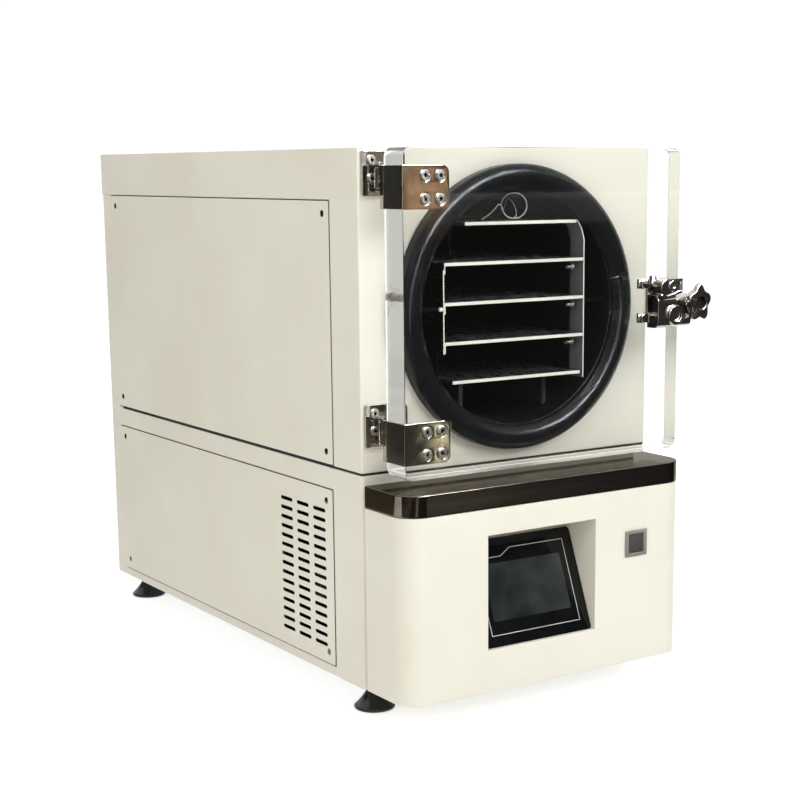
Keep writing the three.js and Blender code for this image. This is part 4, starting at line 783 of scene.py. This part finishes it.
# ---------------------------------------------------------------- chamber and rack
RING = sizes(
    outer=217, inner=179.5, skirt=208.4, crown=20, fall=14, lip=3, dish=8, seat=13.3, back=0.6,
    lip_turn=(0.8, 9.6), lip_end=12,
)
DRUM = sizes(radius=178, wall=3, end=8, hole=11, flange=208, front=13, clear=0.3, mouth=0.8)
# where the wall turns into the rear end: inward from the wall, forward of the end
DRUM_KNUCKLE = (mm(12, 0), mm(4, 3), mm(0, 11))


def gasket_ring(centre, front):
    """Rubber ring with a rolled outer edge and a shallow dish down to its inner lip."""
    outer, inner, skirt = RING.outer, RING.inner, RING.skirt
    crown, fall, lip = outer - RING.crown, RING.fall, inner + RING.lip
    seat, back = FACE - RING.seat, FACE - RING.back
    profile = [(skirt, back), (outer, back)]
    for i in range(19):
        turn = math.radians(i * 5)
        profile.append((crown + (outer - crown) * math.cos(turn), front + fall * (1 - math.sin(turn))))
    for i in range(1, 13):
        share = i / 12
        profile.append((crown - (crown - lip) * share, front + RING.dish * share ** 1.7))
    inward, level = RING.lip_turn
    profile += [(inner + inward, front + level), (inner, front + RING.lip_end)]
    profile += [(inner, seat), (skirt, seat), (skirt, back)]
    lathe("door_gasket_ring", profile, centre, Y, 192, "ring", "black_rubber", "door_gasket", degrees=50)


def drum(centre, rear):
    """The drum, near-black all over as painted shade for the chamber's dim inside, with its front flange and
    the port in its rear end.
    """
    radius, hole, flange = DRUM.radius, DRUM.hole, DRUM.flange
    outside, end = radius + DRUM.wall, rear - DRUM.end
    front, seat = FACE - DRUM.front, FACE - DRUM.clear
    shaded_shell = [
        (hole, end), *((radius - inward, end - forward) for inward, forward in DRUM_KNUCKLE),
        (radius, front + DRUM.mouth), (radius + DRUM.mouth, front), (flange, front), (flange, seat),
        (outside, seat), (outside, rear), (hole, rear), (hole, end),
    ]
    lathe("chamber_drum", shaded_shell, centre, Y, 160, "drum", "brushed_steel", "vacuum_chamber")


def chamber():
    low, high = box_of("door_gasket")
    centre = Vector(((low.x + high.x) / 2, 0, (low.z + high.z) / 2))
    gasket_ring(centre, low.y)
    drum(centre, box_of("vacuum_chamber")[1].y)


RACK = sizes(shelf=5, screw_depth=11, below=9.5, stub=3.1)


def pale_front(piece):
    """Front faces of sheet parts are pale and matt: partly the matt sawn edge, partly painted light where the
    front light falls on them.
    """
    piece.data.materials.append(FINISH["sawn_and_lit"])
    for face in piece.data.polygons:
        if face.normal.y < -0.3 and face.material_index == 0:
            face.material_index = 1


def shelf_level(number):
    """The underside of a shelf's sheet: the foot of the first shelf, the top of the others."""
    low, high = box_of(f"shelf_{number}")
    return low.z if number == 1 else high.z - RACK.shelf


def shelf_piece(number):
    """A shelf whose front edge is pale, partly painted light; the posts of the outer ones are near-black, as
    painted shade.
    """
    piece = eased(f"shelf_{number}", "shelf", "aluminium", width=mm(0.5))
    pale_front(piece)
    if number in (1, 5):
        level = shelf_level(number)
        # painted shade on the posts of the outer shelves
        piece.data.materials.append(FINISH["post_in_shade"])
        for face in piece.data.polygons:
            if not level - mm(0.1) < face.center.z < level + RACK.shelf + mm(0.1):
                face.material_index = 2


def rack():
    """Shelves, side plates, runners and stand-offs, with the clamp screws under the shelves."""
    for number in range(1, 6):
        shelf_piece(number)
    for side, finish in (("left", "plate"), ("right", "shaded_inward")):
        pale_front(eased(f"rack_plate_{side}", finish, "brushed_steel", width=mm(0.4)))
        eased(f"rack_runner_{side}", "seam", "black_plastic", width=mm(0.6))
        # stand-offs in dull black as painted shade inside the chamber
        eased(f"rack_standoff_{side}", "recess", "black_plastic", width=mm(0.4), angle=50)
    low, _ = box_of("rack_plate_right")
    levels = [shelf_level(number) - RACK.below for number in range(1, 5)]
    places = [(low.x - mm(0.2), low.y + RACK.screw_depth, level) for level in levels if level > low.z]
    screws("rack_clamp_screws", "socket", places, "left", "brushed_steel",
           Washer_Radius=mm(4.6), Washer_Height=mm(2), Head_Radius=mm(3), Head_Height=mm(11),
           Socket_Radius=mm(1.5), Socket_Depth=mm(2))
    low, _ = box_of("rack_plate_left")
    place = Vector((low.x, low.y + mm(2.4), middle_of("rack_standoff_left").z))
    stub = collar(0, RACK.stub, mm(0.4), mm(6), mm(0.7))
    lathe("rack_stub", stub, place, -X, 24, "white", "black_plastic")


LEAD_TURNS, LEAD_ANGLE, LEAD_RUN = 2.25, 0.6, 5
LEAD = sizes(radius=0.7, clear=0.3, x=24, y=34, loop=19.5, pitch=3)
LEAD_STRANDS = (mm(-1.5, 0), mm(0, 0.7), mm(1.5, 0))
# before and after the turns: sideways and back from their middle, height above the shelf
LEAD_START = (mm(-49, 16, 0), mm(-38, 11, 8), mm(-29, 8, 17), mm(-22, 10, 22))
LEAD_END = (mm(20, 60, 9), mm(22, 85, 2))


def probe_lead():
    """Thin white lead: up from the top shelf into two upright turns, then back along the shelf."""
    loop = LEAD.loop
    level = box_of("shelf_5")[1].z + mm(1.3) + LEAD.clear
    origin = Vector((CHAMBER.x + LEAD.x, FACE + LEAD.y, level))
    centre = origin + Z * (loop + mm(0.5))
    across = Vector((math.cos(LEAD_ANGLE), -math.sin(LEAD_ANGLE), 0))
    aside = Vector((-across.y, across.x, 0))
    points = [origin + Vector(step) for step in LEAD_START]
    per_turn = 8
    for i in range(int(LEAD_TURNS * per_turn) + 1):
        angle = math.pi + math.tau * i / per_turn
        turned = across * loop * math.cos(angle) + Z * loop * math.sin(angle)
        points.append(centre + turned + aside * LEAD.pitch * i / per_turn)
    points.append(centre + Vector((mm(12), mm(30), loop * 0.55)))
    points += [origin + Vector(step) for step in LEAD_END]
    for i in range(LEAD_RUN + 1):
        points.append(origin + Vector((mm(22), mm(120) + mm(286) * i / LEAD_RUN, 0)))
    strands = []
    for sideways, up in LEAD_STRANDS:
        shift = aside * sideways + Z * up
        strands.append(tube_mesh("probe_lead", [point + shift for point in points], LEAD.radius, 8))
    fitted("probe_lead_strands", join_meshes("probe_lead", strands), "white", "white_plastic", "probe_lead")


# ---------------------------------------------------------------- door
def door_plate():
    """Thick clear plate with rounded corners and polished, slightly chamfered edges."""
    size = DOOR_HIGH - DOOR_LOW
    outer = rounded(0, size.x, 0, size.z, mm(14), 16)
    mesh = plate_mesh("door_plate_clear", outer, [], size.y, mm(1.2), DOOR_LOW.copy(), X, Z)
    plate = fitted("door_plate_clear", mesh, "acrylic", "clear_acrylic", "door_plate", body="door")
    # light passes a clear plate, so what stands behind it is lit as if it were not there
    plate.visible_shadow = False
    plate.visible_diffuse = False


HINGE = sizes(
    leaf_length=80, side=4, front=5.2, corner=11, barrel=6.5, pin=3.9, axis_x=27, axis_y=14.5, first=39,
    pitch_x=26, pitch_z=33, bore=9.3, bore_depth=2.8, head=7.9, head_height=3.8, barrel_low=-1, barrel_high=27,
    neck=4, side_back=24.5, base_corner=6, base_plate=6, lug=5, base_screw_x=15.5, base_screws=(12.5, 38.5),
    base_bore=8.2, base_bore_depth=1.8, base_head=7, clear=0.3,
)


def bored_plate(name, outline, thickness, origin, places, bore, depth, back):
    """The meshes of a plate with bores for screw heads: the plate, then a floor in each bore, down to back."""
    bores = [arc(place, bore, 0, 354, 59) for place in places]
    meshes = [plate_mesh(name, outline, bores, thickness, mm(0.6), origin, X, Z)]
    floor = collar(0, bore + mm(0.1), depth, back, mm(0.1))
    for x, z in places:
        meshes.append(turned_mesh("bore_floor", floor, origin + Vector((x, 0, z)), Y, 40))
    return meshes


def sunk_screws(name, origin, places, depth, body, **settings):
    """Socket screws whose heads sit in bores of this depth, facing the front, with painted shade at their
    socket floors.
    """
    seats = [origin + Vector((x, depth, z)) for x, z in places]
    screws(name, "socket", seats, "front", "mirror_steel", body, Washer_Height=mm(0.3), **settings)
    radius, top = settings["Socket_Radius"], settings["Head_Height"] + settings["Head_Radius"] * CROWN
    screws(f"{name}_sockets", "floor", seats, "front", "mirror_steel", body,
           Socket_Radius=radius, Level=top - settings["Socket_Depth"] + mm(0.2))


def hinge_leaf(label):
    """The leaf that clasps the door's edge: bored face, side, neck and barrel."""
    node = f"hinge_leaf_{label}"
    low, high = box_of(node)
    middle, height = (low.z + high.z) / 2, high.z - low.z
    inner = DOOR_LOW.x - HINGE.clear
    outer = inner - HINGE.side
    front = DOOR_LOW.y - HINGE.clear - HINGE.front
    origin = Vector((outer, front, low.z))
    places = [
        (HINGE.first + column * HINGE.pitch_x, height / 2 + row * HINGE.pitch_z)
        for column in range(2) for row in (-0.5, 0.5)
    ]
    corners = (mm(0.8), HINGE.corner, HINGE.corner, mm(0.8))
    outline = rounded(0, HINGE.leaf_length, 0, height, corners, 14)
    face, depth = HINGE.front, HINGE.bore_depth
    meshes = bored_plate("leaf_face", outline, face, origin, places, HINGE.bore, depth, face - mm(0.1))
    side_back = FACE - HINGE.side_back
    side = block_mesh("leaf_side", (outer, front + mm(0.5), low.z), (inner, side_back, high.z), mm(0.8), 3)
    axis = Vector((CABINET_LOW.x + HINGE.axis_x, FACE - HINGE.axis_y, middle))
    bottom, top = HINGE.barrel_low, HINGE.barrel_high
    sleeve = collar(HINGE.pin, HINGE.barrel, bottom, top, mm(0.5))
    barrel = turned_mesh("leaf_barrel", sleeve, axis, Z, 48)
    neck = block_mesh(
        "leaf_neck", (inner - HINGE.neck + mm(1), DOOR_HIGH.y + mm(0.4), middle + bottom),
        (inner - mm(0.2), axis.y, middle + top), mm(0.3),
    )
    leaf = join_meshes("leaf", meshes + [side, barrel, neck])
    fitted(f"{node}_bent", leaf, "hinge", "mirror_steel", node, body="door")
    sunk_screws(
        f"{node}_screws", origin, places, depth, "door", Washer_Radius=mm(8),
        Head_Radius=HINGE.head, Head_Height=HINGE.head_height, Socket_Radius=mm(3.4), Socket_Depth=mm(3),
    )


def hinge_base(label):
    """The plate on the casing with its two lugs, the pin's eyes and two screws."""
    node = f"hinge_base_{label}"
    low, high = box_of(node)
    front = FACE - HINGE.base_plate
    origin = Vector((low.x, front, low.z))
    middle = middle_of(f"hinge_leaf_{label}").z
    corner, depth = HINGE.base_corner, HINGE.base_bore_depth
    places = [(HINGE.base_screw_x, middle + z - low.z) for z in HINGE.base_screws]
    outline = rounded(0, high.x - low.x, 0, high.z - low.z, (mm(2), corner, corner, mm(2)), 8)
    thickness = HINGE.base_plate - HINGE.clear
    back = HINGE.base_plate - mm(1)
    meshes = bored_plate("base_plate", outline, thickness, origin, places, HINGE.base_bore, depth, back)
    radius, pin = HINGE.barrel, (CABINET_LOW.x + HINGE.axis_x, FACE - HINGE.axis_y)
    foot = front + mm(0.5)
    eye = [(pin[0] + radius, foot), (pin[0] - radius, foot), *arc(pin, radius, 180, 360, 20)]
    bore = arc(pin, HINGE.pin, 0, 345, 23)
    for level in (HINGE.barrel_high + HINGE.clear, HINGE.barrel_low - HINGE.clear - HINGE.lug):
        top = Z * (middle + level + HINGE.lug)
        meshes.append(plate_mesh("base_lug", eye, [bore], HINGE.lug, mm(0.5), top, X, Y))
    fitted(f"{node}_plate", join_meshes("base", meshes), "hinge", "mirror_steel", node)
    sunk_screws(
        f"{node}_screws", origin, places, depth, "cabinet", Washer_Radius=mm(7.1),
        Head_Radius=HINGE.base_head, Head_Height=mm(2.6), Socket_Radius=mm(3), Socket_Depth=mm(2),
    )


def hinge(label):
    hinge_leaf(label)
    hinge_base(label)
    eased(f"hinge_pin_{label}", "brushed", "brushed_steel", width=mm(0.5), angle=35)


# ---------------------------------------------------------------- latch
KNOB = sizes(half=(23.9, 30.9), cup=10, seat=6.2)
KNOB_LOBES, KNOB_HOLLOW = 5, 0.13
# from the cup outwards: how far towards the lobed outline (0 round, 1 lobed), then the round radius and the
# distance from the front, in millimetres
KNOB_SECTIONS = (
    (0, 9.9, 6), (0, 9.9, 0.9), (0, 10.6, 0.2), (0, 12, 0), (0, 13.4, 0.5), (0.35, 14.5, 1.6), (0.75, 16, 2.4),
    (0.9, 18, 3.2), (0.98, 18, 4.6), (1, 18, 6.4), (1, 18, 8.4), (0.97, 18, 10.4), (0.86, 18, 11.8),
    (0.45, 19, 12.6), (0.2, 20.5, 14), (0.1, 20, 16.6), (0, 17, 18), (0, 7.4, 18), (0, 7.4, 6), (0, 9.9, 6),
)


def knob():
    """Lobed hand nut: a round boss with a cup at its front, hollowed lobes and a collar behind."""
    low, _ = box_of("latch_knob")
    half_x, half_z = KNOB.half
    centre = Vector((middle_of("latch_spindle").x, low.y, low.z + half_z))
    segments = 120
    bm = bmesh.new()
    rings = []
    for lobed, radius, level in KNOB_SECTIONS:
        radius, level = mm(radius, level)
        ring = []
        for i in range(segments):
            angle = math.tau * i / segments
            swell = 1 - KNOB_HOLLOW * (1 - math.cos(KNOB_LOBES * (angle - math.pi / 2)))
            across = (1 - lobed) * radius + lobed * half_x * swell
            up = (1 - lobed) * radius + lobed * half_z * swell
            place = X * across * math.cos(angle) + Y * level + Z * up * math.sin(angle)
            ring.append(bm.verts.new(centre + place))
        rings.append(ring)
    skin(bm, rings)
    nut = closed_mesh(bm, "latch_knob", 50)
    fitted("latch_knob_lobed", nut, "cast", "mirror_steel", "latch_knob", body="latch")
    seat = KNOB.seat
    # a dull black disc in the cup as painted shade in its hollow
    floor = collar(0, KNOB.cup - mm(0.3), seat - mm(1), seat - mm(0.4), mm(0.1))
    lathe("latch_knob_cup_floor", floor, centre, Y, 40, "recess", "black_plastic", body="latch")


def latch():
    """Polished casting on the door's edge, the spindle with its hook, the lobed knob and the keeper."""
    eased("latch_body", "cast", "mirror_steel", width=mm(0.9), segments=3, angle=35, body="door")
    eased("latch_spindle", "brushed", "brushed_steel", width=mm(0.8), segments=3, angle=35, body="latch")
    knob()
    eased("latch_keeper", "cast", "brushed_steel", width=mm(0.5), angle=35)


# ---------------------------------------------------------------- plant and rear fittings
PLANT = {
    "base_pan": ("zinc", "zinc_steel"), "mid_deck": ("zinc", "zinc_steel"),
    "control_box": ("zinc", "zinc_steel"), "drum_saddle_front": ("zinc", "zinc_steel"),
    "drum_saddle_rear": ("zinc", "zinc_steel"), "compressor": ("black", "black_plastic"),
    "condenser": ("brushed", "aluminium"), "fan_shroud": ("black", "black_plastic"),
    "fan_rotor": ("black", "black_plastic"), "vacuum_port": ("brushed", "brushed_steel"),
    "drain_valve_body": ("brushed", "brushed_steel"), "drain_valve_lever": ("black", "black_plastic"),
    "power_inlet": ("black", "black_plastic"),
}
# the plant pieces that ride on a moving body
MOVING = {"fan_rotor": "condenser_fan", "drain_valve_lever": "drain_lever"}
CARRIED_OVER = {
    "rear_panel": "coat", "cooling_coil": "copper", "suction_line": "copper", "discharge_line": "copper",
    "insulation_jacket": "foam",
}


def plant():
    for node, (finish, slot) in PLANT.items():
        eased(node, finish, slot, width=mm(0.5), angle=35, body=MOVING.get(node, "cabinet"))
    for node, finish in CARRIED_OVER.items():
        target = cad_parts[node]
        target.data.materials.clear()
        target.data.materials.append(FINISH[finish])


# ---------------------------------------------------------------- room, lights and camera
AMBIENT = 0.52                        # the even light of the room on matt surfaces
ROOM_WHITE = 1.12                     # the white behind the machine, seen directly or through the clear door
FLOOR_LIFT = 0.62                     # extra white of the floor to the camera and to reflections


def standing(axis, start, end, at, top):
    """Corners of an upright card along X or Y, from the floor to its top."""
    if axis == "X":
        return ((start, at, 0), (end, at, 0), (end, at, top), (start, at, top))
    return ((at, start, 0), (at, end, 0), (at, end, top), (at, start, top))


def lying(x0, x1, y0, y1, z):
    """Corners of a level card at height z."""
    return ((x0, y0, z), (x1, y0, z), (x1, y1, z), (x0, y1, z))


CARD_TOP = 2.7
CARDS = {
    # name: the corners, going round, from the casing's front at floor level
    "card_front_left": standing("X", 0.6, 1.93, -3.5, CARD_TOP),
    "card_front_warm": standing("X", 1.93, 2.17, -3.5, CARD_TOP),
    "card_front_dim": standing("X", 2.17, 4.6, -3.5, CARD_TOP),
    "card_floor": lying(-0.15, 4.6, -3.5, -0.14, 0.012),
    "card_floor_tray": lying(0.45, 1.6, -1.7, -1.3, 0.014),
    "card_floor_pale": (
        (0.943, -1.784, 0.016), (1.024, -1.811, 0.016), (1.488, -2.492, 0.016), (1.441, -2.534, 0.016),
    ),
    "card_left": standing("Y", -4.5, 0.9, -3, 2.0),
    "card_corner": standing("X", -3, 0.6, -3.7, CARD_TOP),
    "card_floor_left": lying(-3, -0.15, -3.7, -0.14, 0.012),
    "strip_low": ((-1.6, -3.4, 0.05), (-0.9, -3.4, 0.05), (0.1, -3.4, 1.7), (-0.6, -3.4, 2.3)),
    "strip_high": ((-0.6, -3.4, 2.3), (0.1, -3.4, 1.7), (3.2, -3.4, 3.6), (2.7, -3.4, 4.7)),
    "card_right": standing("Y", -3.5, -0.14, 4.6, CARD_TOP),
    "card_rear": standing("Y", 0.9, 6, -2.6, 2.4),
    "card_rear_floor": lying(-2.6, -0.75, 0.9, 6, 0.012),
}
DARK_CARD = (0.045, 0.044, 0.040, 1)
NO_BANDS = ("Z", 0, 3, ())
# what a card shows: the axis of its bands, the length that they cover and the places with their colours
CARD_BANDS = {
    "card_front_left": ("Z", 0, 3, ((0.78, DARK_CARD), (0.82, (0.55, 0.49, 0.38, 1)), (0.95, DARK_CARD))),
    "card_front_warm": ("Z", 0, 3, (
        (0.55, DARK_CARD), (0.66, (0.6, 0.38, 0.23, 1)), (0.78, (0.72, 0.46, 0.28, 1)), (0.9, DARK_CARD),
    )),
    "card_front_dim": ("Z", 0, 3, (
        (0.60, DARK_CARD), (0.62, (0.2, 0.2, 0.19, 1)), (0.71, (0.26, 0.26, 0.25, 1)),
        (0.725, (0.5, 0.49, 0.47, 1)), (0.74, DARK_CARD),
    )),
    "card_floor_tray": ("X", 0.45, 1.6, (
        (0.5, (0.32, 0.30, 0.24, 1)), (0.72, (0.28, 0.27, 0.22, 1)), (0.95, (0.15, 0.16, 0.155, 1)),
        (1.3, (0.08, 0.085, 0.09, 1)),
    )),
    "card_floor_pale": ("Z", 0, 3, ((0.001, (1.3, 1.22, 0.82, 1)), (0.1, (1.3, 1.22, 0.82, 1)))),
    "strip_low": ("Z", 0, 3, ((0.02, (2, 2, 2.1, 1)), (1.6, (8, 8, 8.3, 1)), (2.3, (12, 12, 12.4, 1)))),
    "strip_high": ("Z", 1, 5, (
        (1.8, (16, 16, 16.5, 1)), (2.4, (36, 36, 37, 1)), (3.2, (70, 70, 72, 1)), (4.0, (60, 60, 62, 1)),
    )),
    "card_floor_left": ("X", -3, -0.15, (
        (-2.0, DARK_CARD), (-1.5, (0.3, 0.27, 0.22, 1)), (-1.45, DARK_CARD), (-0.9, DARK_CARD),
        (-0.85, (0.8, 0.75, 0.66, 1)), (-0.7, (0.5, 0.46, 0.4, 1)), (-0.65, DARK_CARD), (-0.4, DARK_CARD),
    )),
    "card_left": ("Y", -4.5, 0.9, (
        (-2.3, DARK_CARD), (-2.2, (0.6, 0.57, 0.5, 1)), (-1.9, (0.6, 0.57, 0.5, 1)), (-1.8, DARK_CARD),
    )),
    "card_rear_floor": ("X", -2.6, -0.6, (
        (-1.5, DARK_CARD), (-1.3, (0.17, 0.155, 0.12, 1)), (-0.8, (0.18, 0.165, 0.125, 1)),
    )),
}
PALE_BEYOND = (0.60, 0.60, 0.56, 1)   # what light piped along a clear edge finds past the cards
LONG_PATH = 5                         # bounces after which a path counts as piped along an edge


def seen_directly(tree, low, high):
    """High for rays from the camera, mirrors and glass, low for the rays that light matt surfaces."""
    paths = add_node(tree, "ShaderNodeLightPath")
    seen = paths.outputs["Is Camera Ray"]
    for kind in ("Is Glossy Ray", "Is Transmission Ray"):
        either = add_node(tree, "ShaderNodeMath", {0: seen, 1: paths.outputs[kind]}, operation="MAXIMUM")
        seen = either.outputs[0]
    level = add_node(tree, "ShaderNodeMapRange", {"Value": seen, "To Min": low, "To Max": high})
    return level.outputs["Result"]


def plane_mesh(name, corners):
    mesh = bpy.data.meshes.new(name)
    mesh.from_pydata([tuple(corner) for corner in corners], [], [(0, 1, 2, 3)])
    return mesh


def room():
    """Plain pale floor and an even studio, white where the camera looks past the machine."""
    reach = 14
    floor = linked("studio_floor", plane_mesh("studio_floor", lying(-reach, reach, -reach, reach, 0)))
    floor.location.z = -mm(0.2)
    floor.data.materials.append(floor_finish())

    world = bpy.data.worlds.new("studio")
    bpy.context.scene.world = world
    world.use_nodes = True
    tree = world.node_tree
    background = tree.nodes["Background"]
    background.inputs["Color"].default_value = (1, 1, 1, 1)
    tree.links.new(seen_directly(tree, AMBIENT, ROOM_WHITE), background.inputs["Strength"])


def floor_finish():
    """Matt white; to the camera it is lifted to the white of the room, and keeps the shadow."""
    material = new_finish("pale floor", (0.86, 0.86, 0.85, 1), 0.8, Specular_IOR_Level=0.1)
    vary_roughness(material, grain(material, 3, 2), 0.75, 0.85)
    tree = material.node_tree
    lift = add_node(tree, "ShaderNodeEmission", {"Strength": seen_directly(tree, 0.0, FLOOR_LIFT)})
    matt = tree.nodes["Principled BSDF"].outputs[0]
    both = add_node(tree, "ShaderNodeAddShader", {0: matt, 1: lift.outputs[0]})
    tree.links.new(both.outputs[0], tree.nodes["Material Output"].inputs["Surface"])
    return material


def card_finish(axis, start, end, bands):
    """Near-black card with bands of grey that polished faces pick up; long paths in clear edges end pale."""
    material = bpy.data.materials.new("reflecting card")
    material.use_nodes = True
    tree = material.node_tree
    tree.nodes.remove(tree.nodes["Principled BSDF"])
    share = add_node(tree, "ShaderNodeMapRange", {
        "Value": object_axis(tree, axis), "From Min": start, "From Max": end,
    }).outputs["Result"]
    colours = add_node(tree, "ShaderNodeValToRGB", {"Fac": share})
    stops = colours.color_ramp.elements
    for stop in stops:
        stop.color = DARK_CARD
    for level, colour in bands:
        stops.new((level - start) / (end - start)).color = colour
    if bands and axis == "X":
        stops[0].color, stops[-1].color = bands[0][1], bands[-1][1]
    depth = add_node(tree, "ShaderNodeLightPath").outputs["Ray Depth"]
    piped = add_node(tree, "ShaderNodeMath", {0: depth, 1: LONG_PATH}, operation="GREATER_THAN").outputs[0]
    either = tree.nodes.new("ShaderNodeMix")
    either.data_type = "RGBA"
    either.inputs["B"].default_value = PALE_BEYOND
    tree.links.new(piped, either.inputs["Factor"])
    tree.links.new(colours.outputs["Color"], either.inputs["A"])
    glow = add_node(tree, "ShaderNodeEmission", {"Color": either.outputs["Result"]})
    tree.links.new(glow.outputs[0], tree.nodes["Material Output"].inputs["Surface"])
    return material


def cards():
    """Dark cards that only polished surfaces see, so that steel and glass keep their contrast."""
    origin = Vector(((CABINET_LOW.x + CABINET_HIGH.x) / 2, FACE, 0))
    for name, corners in CARDS.items():
        card = linked(name, plane_mesh(name, corners))
        card.location = origin
        card.data.materials.append(card_finish(*CARD_BANDS.get(name, NO_BANDS)))
        for ray in ("camera", "diffuse", "shadow", "volume_scatter"):
            setattr(card, f"visible_{ray}", False)


def soft_light(name, place, target, size, power, tint, mirrored=False):
    data = bpy.data.lights.new(name, "AREA")
    data.shape = "RECTANGLE"
    data.size, data.size_y = size
    data.energy = power
    light = linked(name, data)
    light.location = place
    light.rotation_euler = (Vector(place) - Vector(target)).to_track_quat("Z", "Y").to_euler()
    light.data.color = tint
    light.visible_glossy = mirrored
    light.visible_transmission = mirrored


def studio_lights():
    middle = (0, -0.4, 0.45)
    cool, warm, plain = (0.97, 0.99, 1.0), (1.0, 0.95, 0.84), (1.0, 1.0, 1.0)
    soft_light("front softbox", (1.2, -4.4, 3.0), middle, (3.0, 2.2), 102, cool)
    soft_light("left softbox", (-3.9, -2.5, 2.0), middle, (2.6, 2.4), 50, warm)
    soft_light("overhead softbox", (0, 0.3, 3.6), middle, (3.2, 3.2), 26, plain)
    soft_light("ring highlight", (-1.0, -2.6, 3.2), middle, (1.6, 0.35), 14, plain, mirrored=True)


CAMERA = {
    "lens": 73.6, "sensor": 36, "shift": (-0.0670, 0.0997), "from_corner": mm(-1230.5, -2042, 773.7),
    "azimuth": -34.34, "elevation": 10.68, "roll": -0.27,
}


def camera():
    """The view from the front left, a little above the middle, with the framing moved by the lens shift."""
    data = bpy.data.cameras.new("camera")
    data.sensor_width, data.lens = CAMERA["sensor"], CAMERA["lens"]
    data.shift_x, data.shift_y = CAMERA["shift"]
    data.clip_end = 60
    viewer = linked("camera", data)
    azimuth, elevation, roll = (math.radians(CAMERA[angle]) for angle in ("azimuth", "elevation", "roll"))
    turn = Matrix.Rotation(azimuth, 4, "Z") @ Matrix.Rotation(math.pi / 2 - elevation, 4, "X")
    place = Matrix.Translation(CABINET_LOW + Vector(CAMERA["from_corner"]))
    viewer.matrix_world = place @ turn @ Matrix.Rotation(roll, 4, "Z")
    bpy.context.scene.camera = viewer


camera()
room()
cards()
studio_lights()
casing_shells()
side_panel("side_panel_upper_left", -1, False)
side_panel("side_panel_upper_right", 1, False)
side_panel("side_panel_lower_left", -1, True)
side_panel("side_panel_lower_right", 1, True)
feet()
touch_panel()
push_switch()
chamber()
rack()
probe_lead()
door_plate()
hinge("upper")
hinge("lower")
latch()
plant()

scene = bpy.context.scene
scene.view_settings.view_transform = "Standard"
scene.cycles.max_bounces = 24
scene.cycles.glossy_bounces = 16
scene.cycles.transmission_bounces = 20
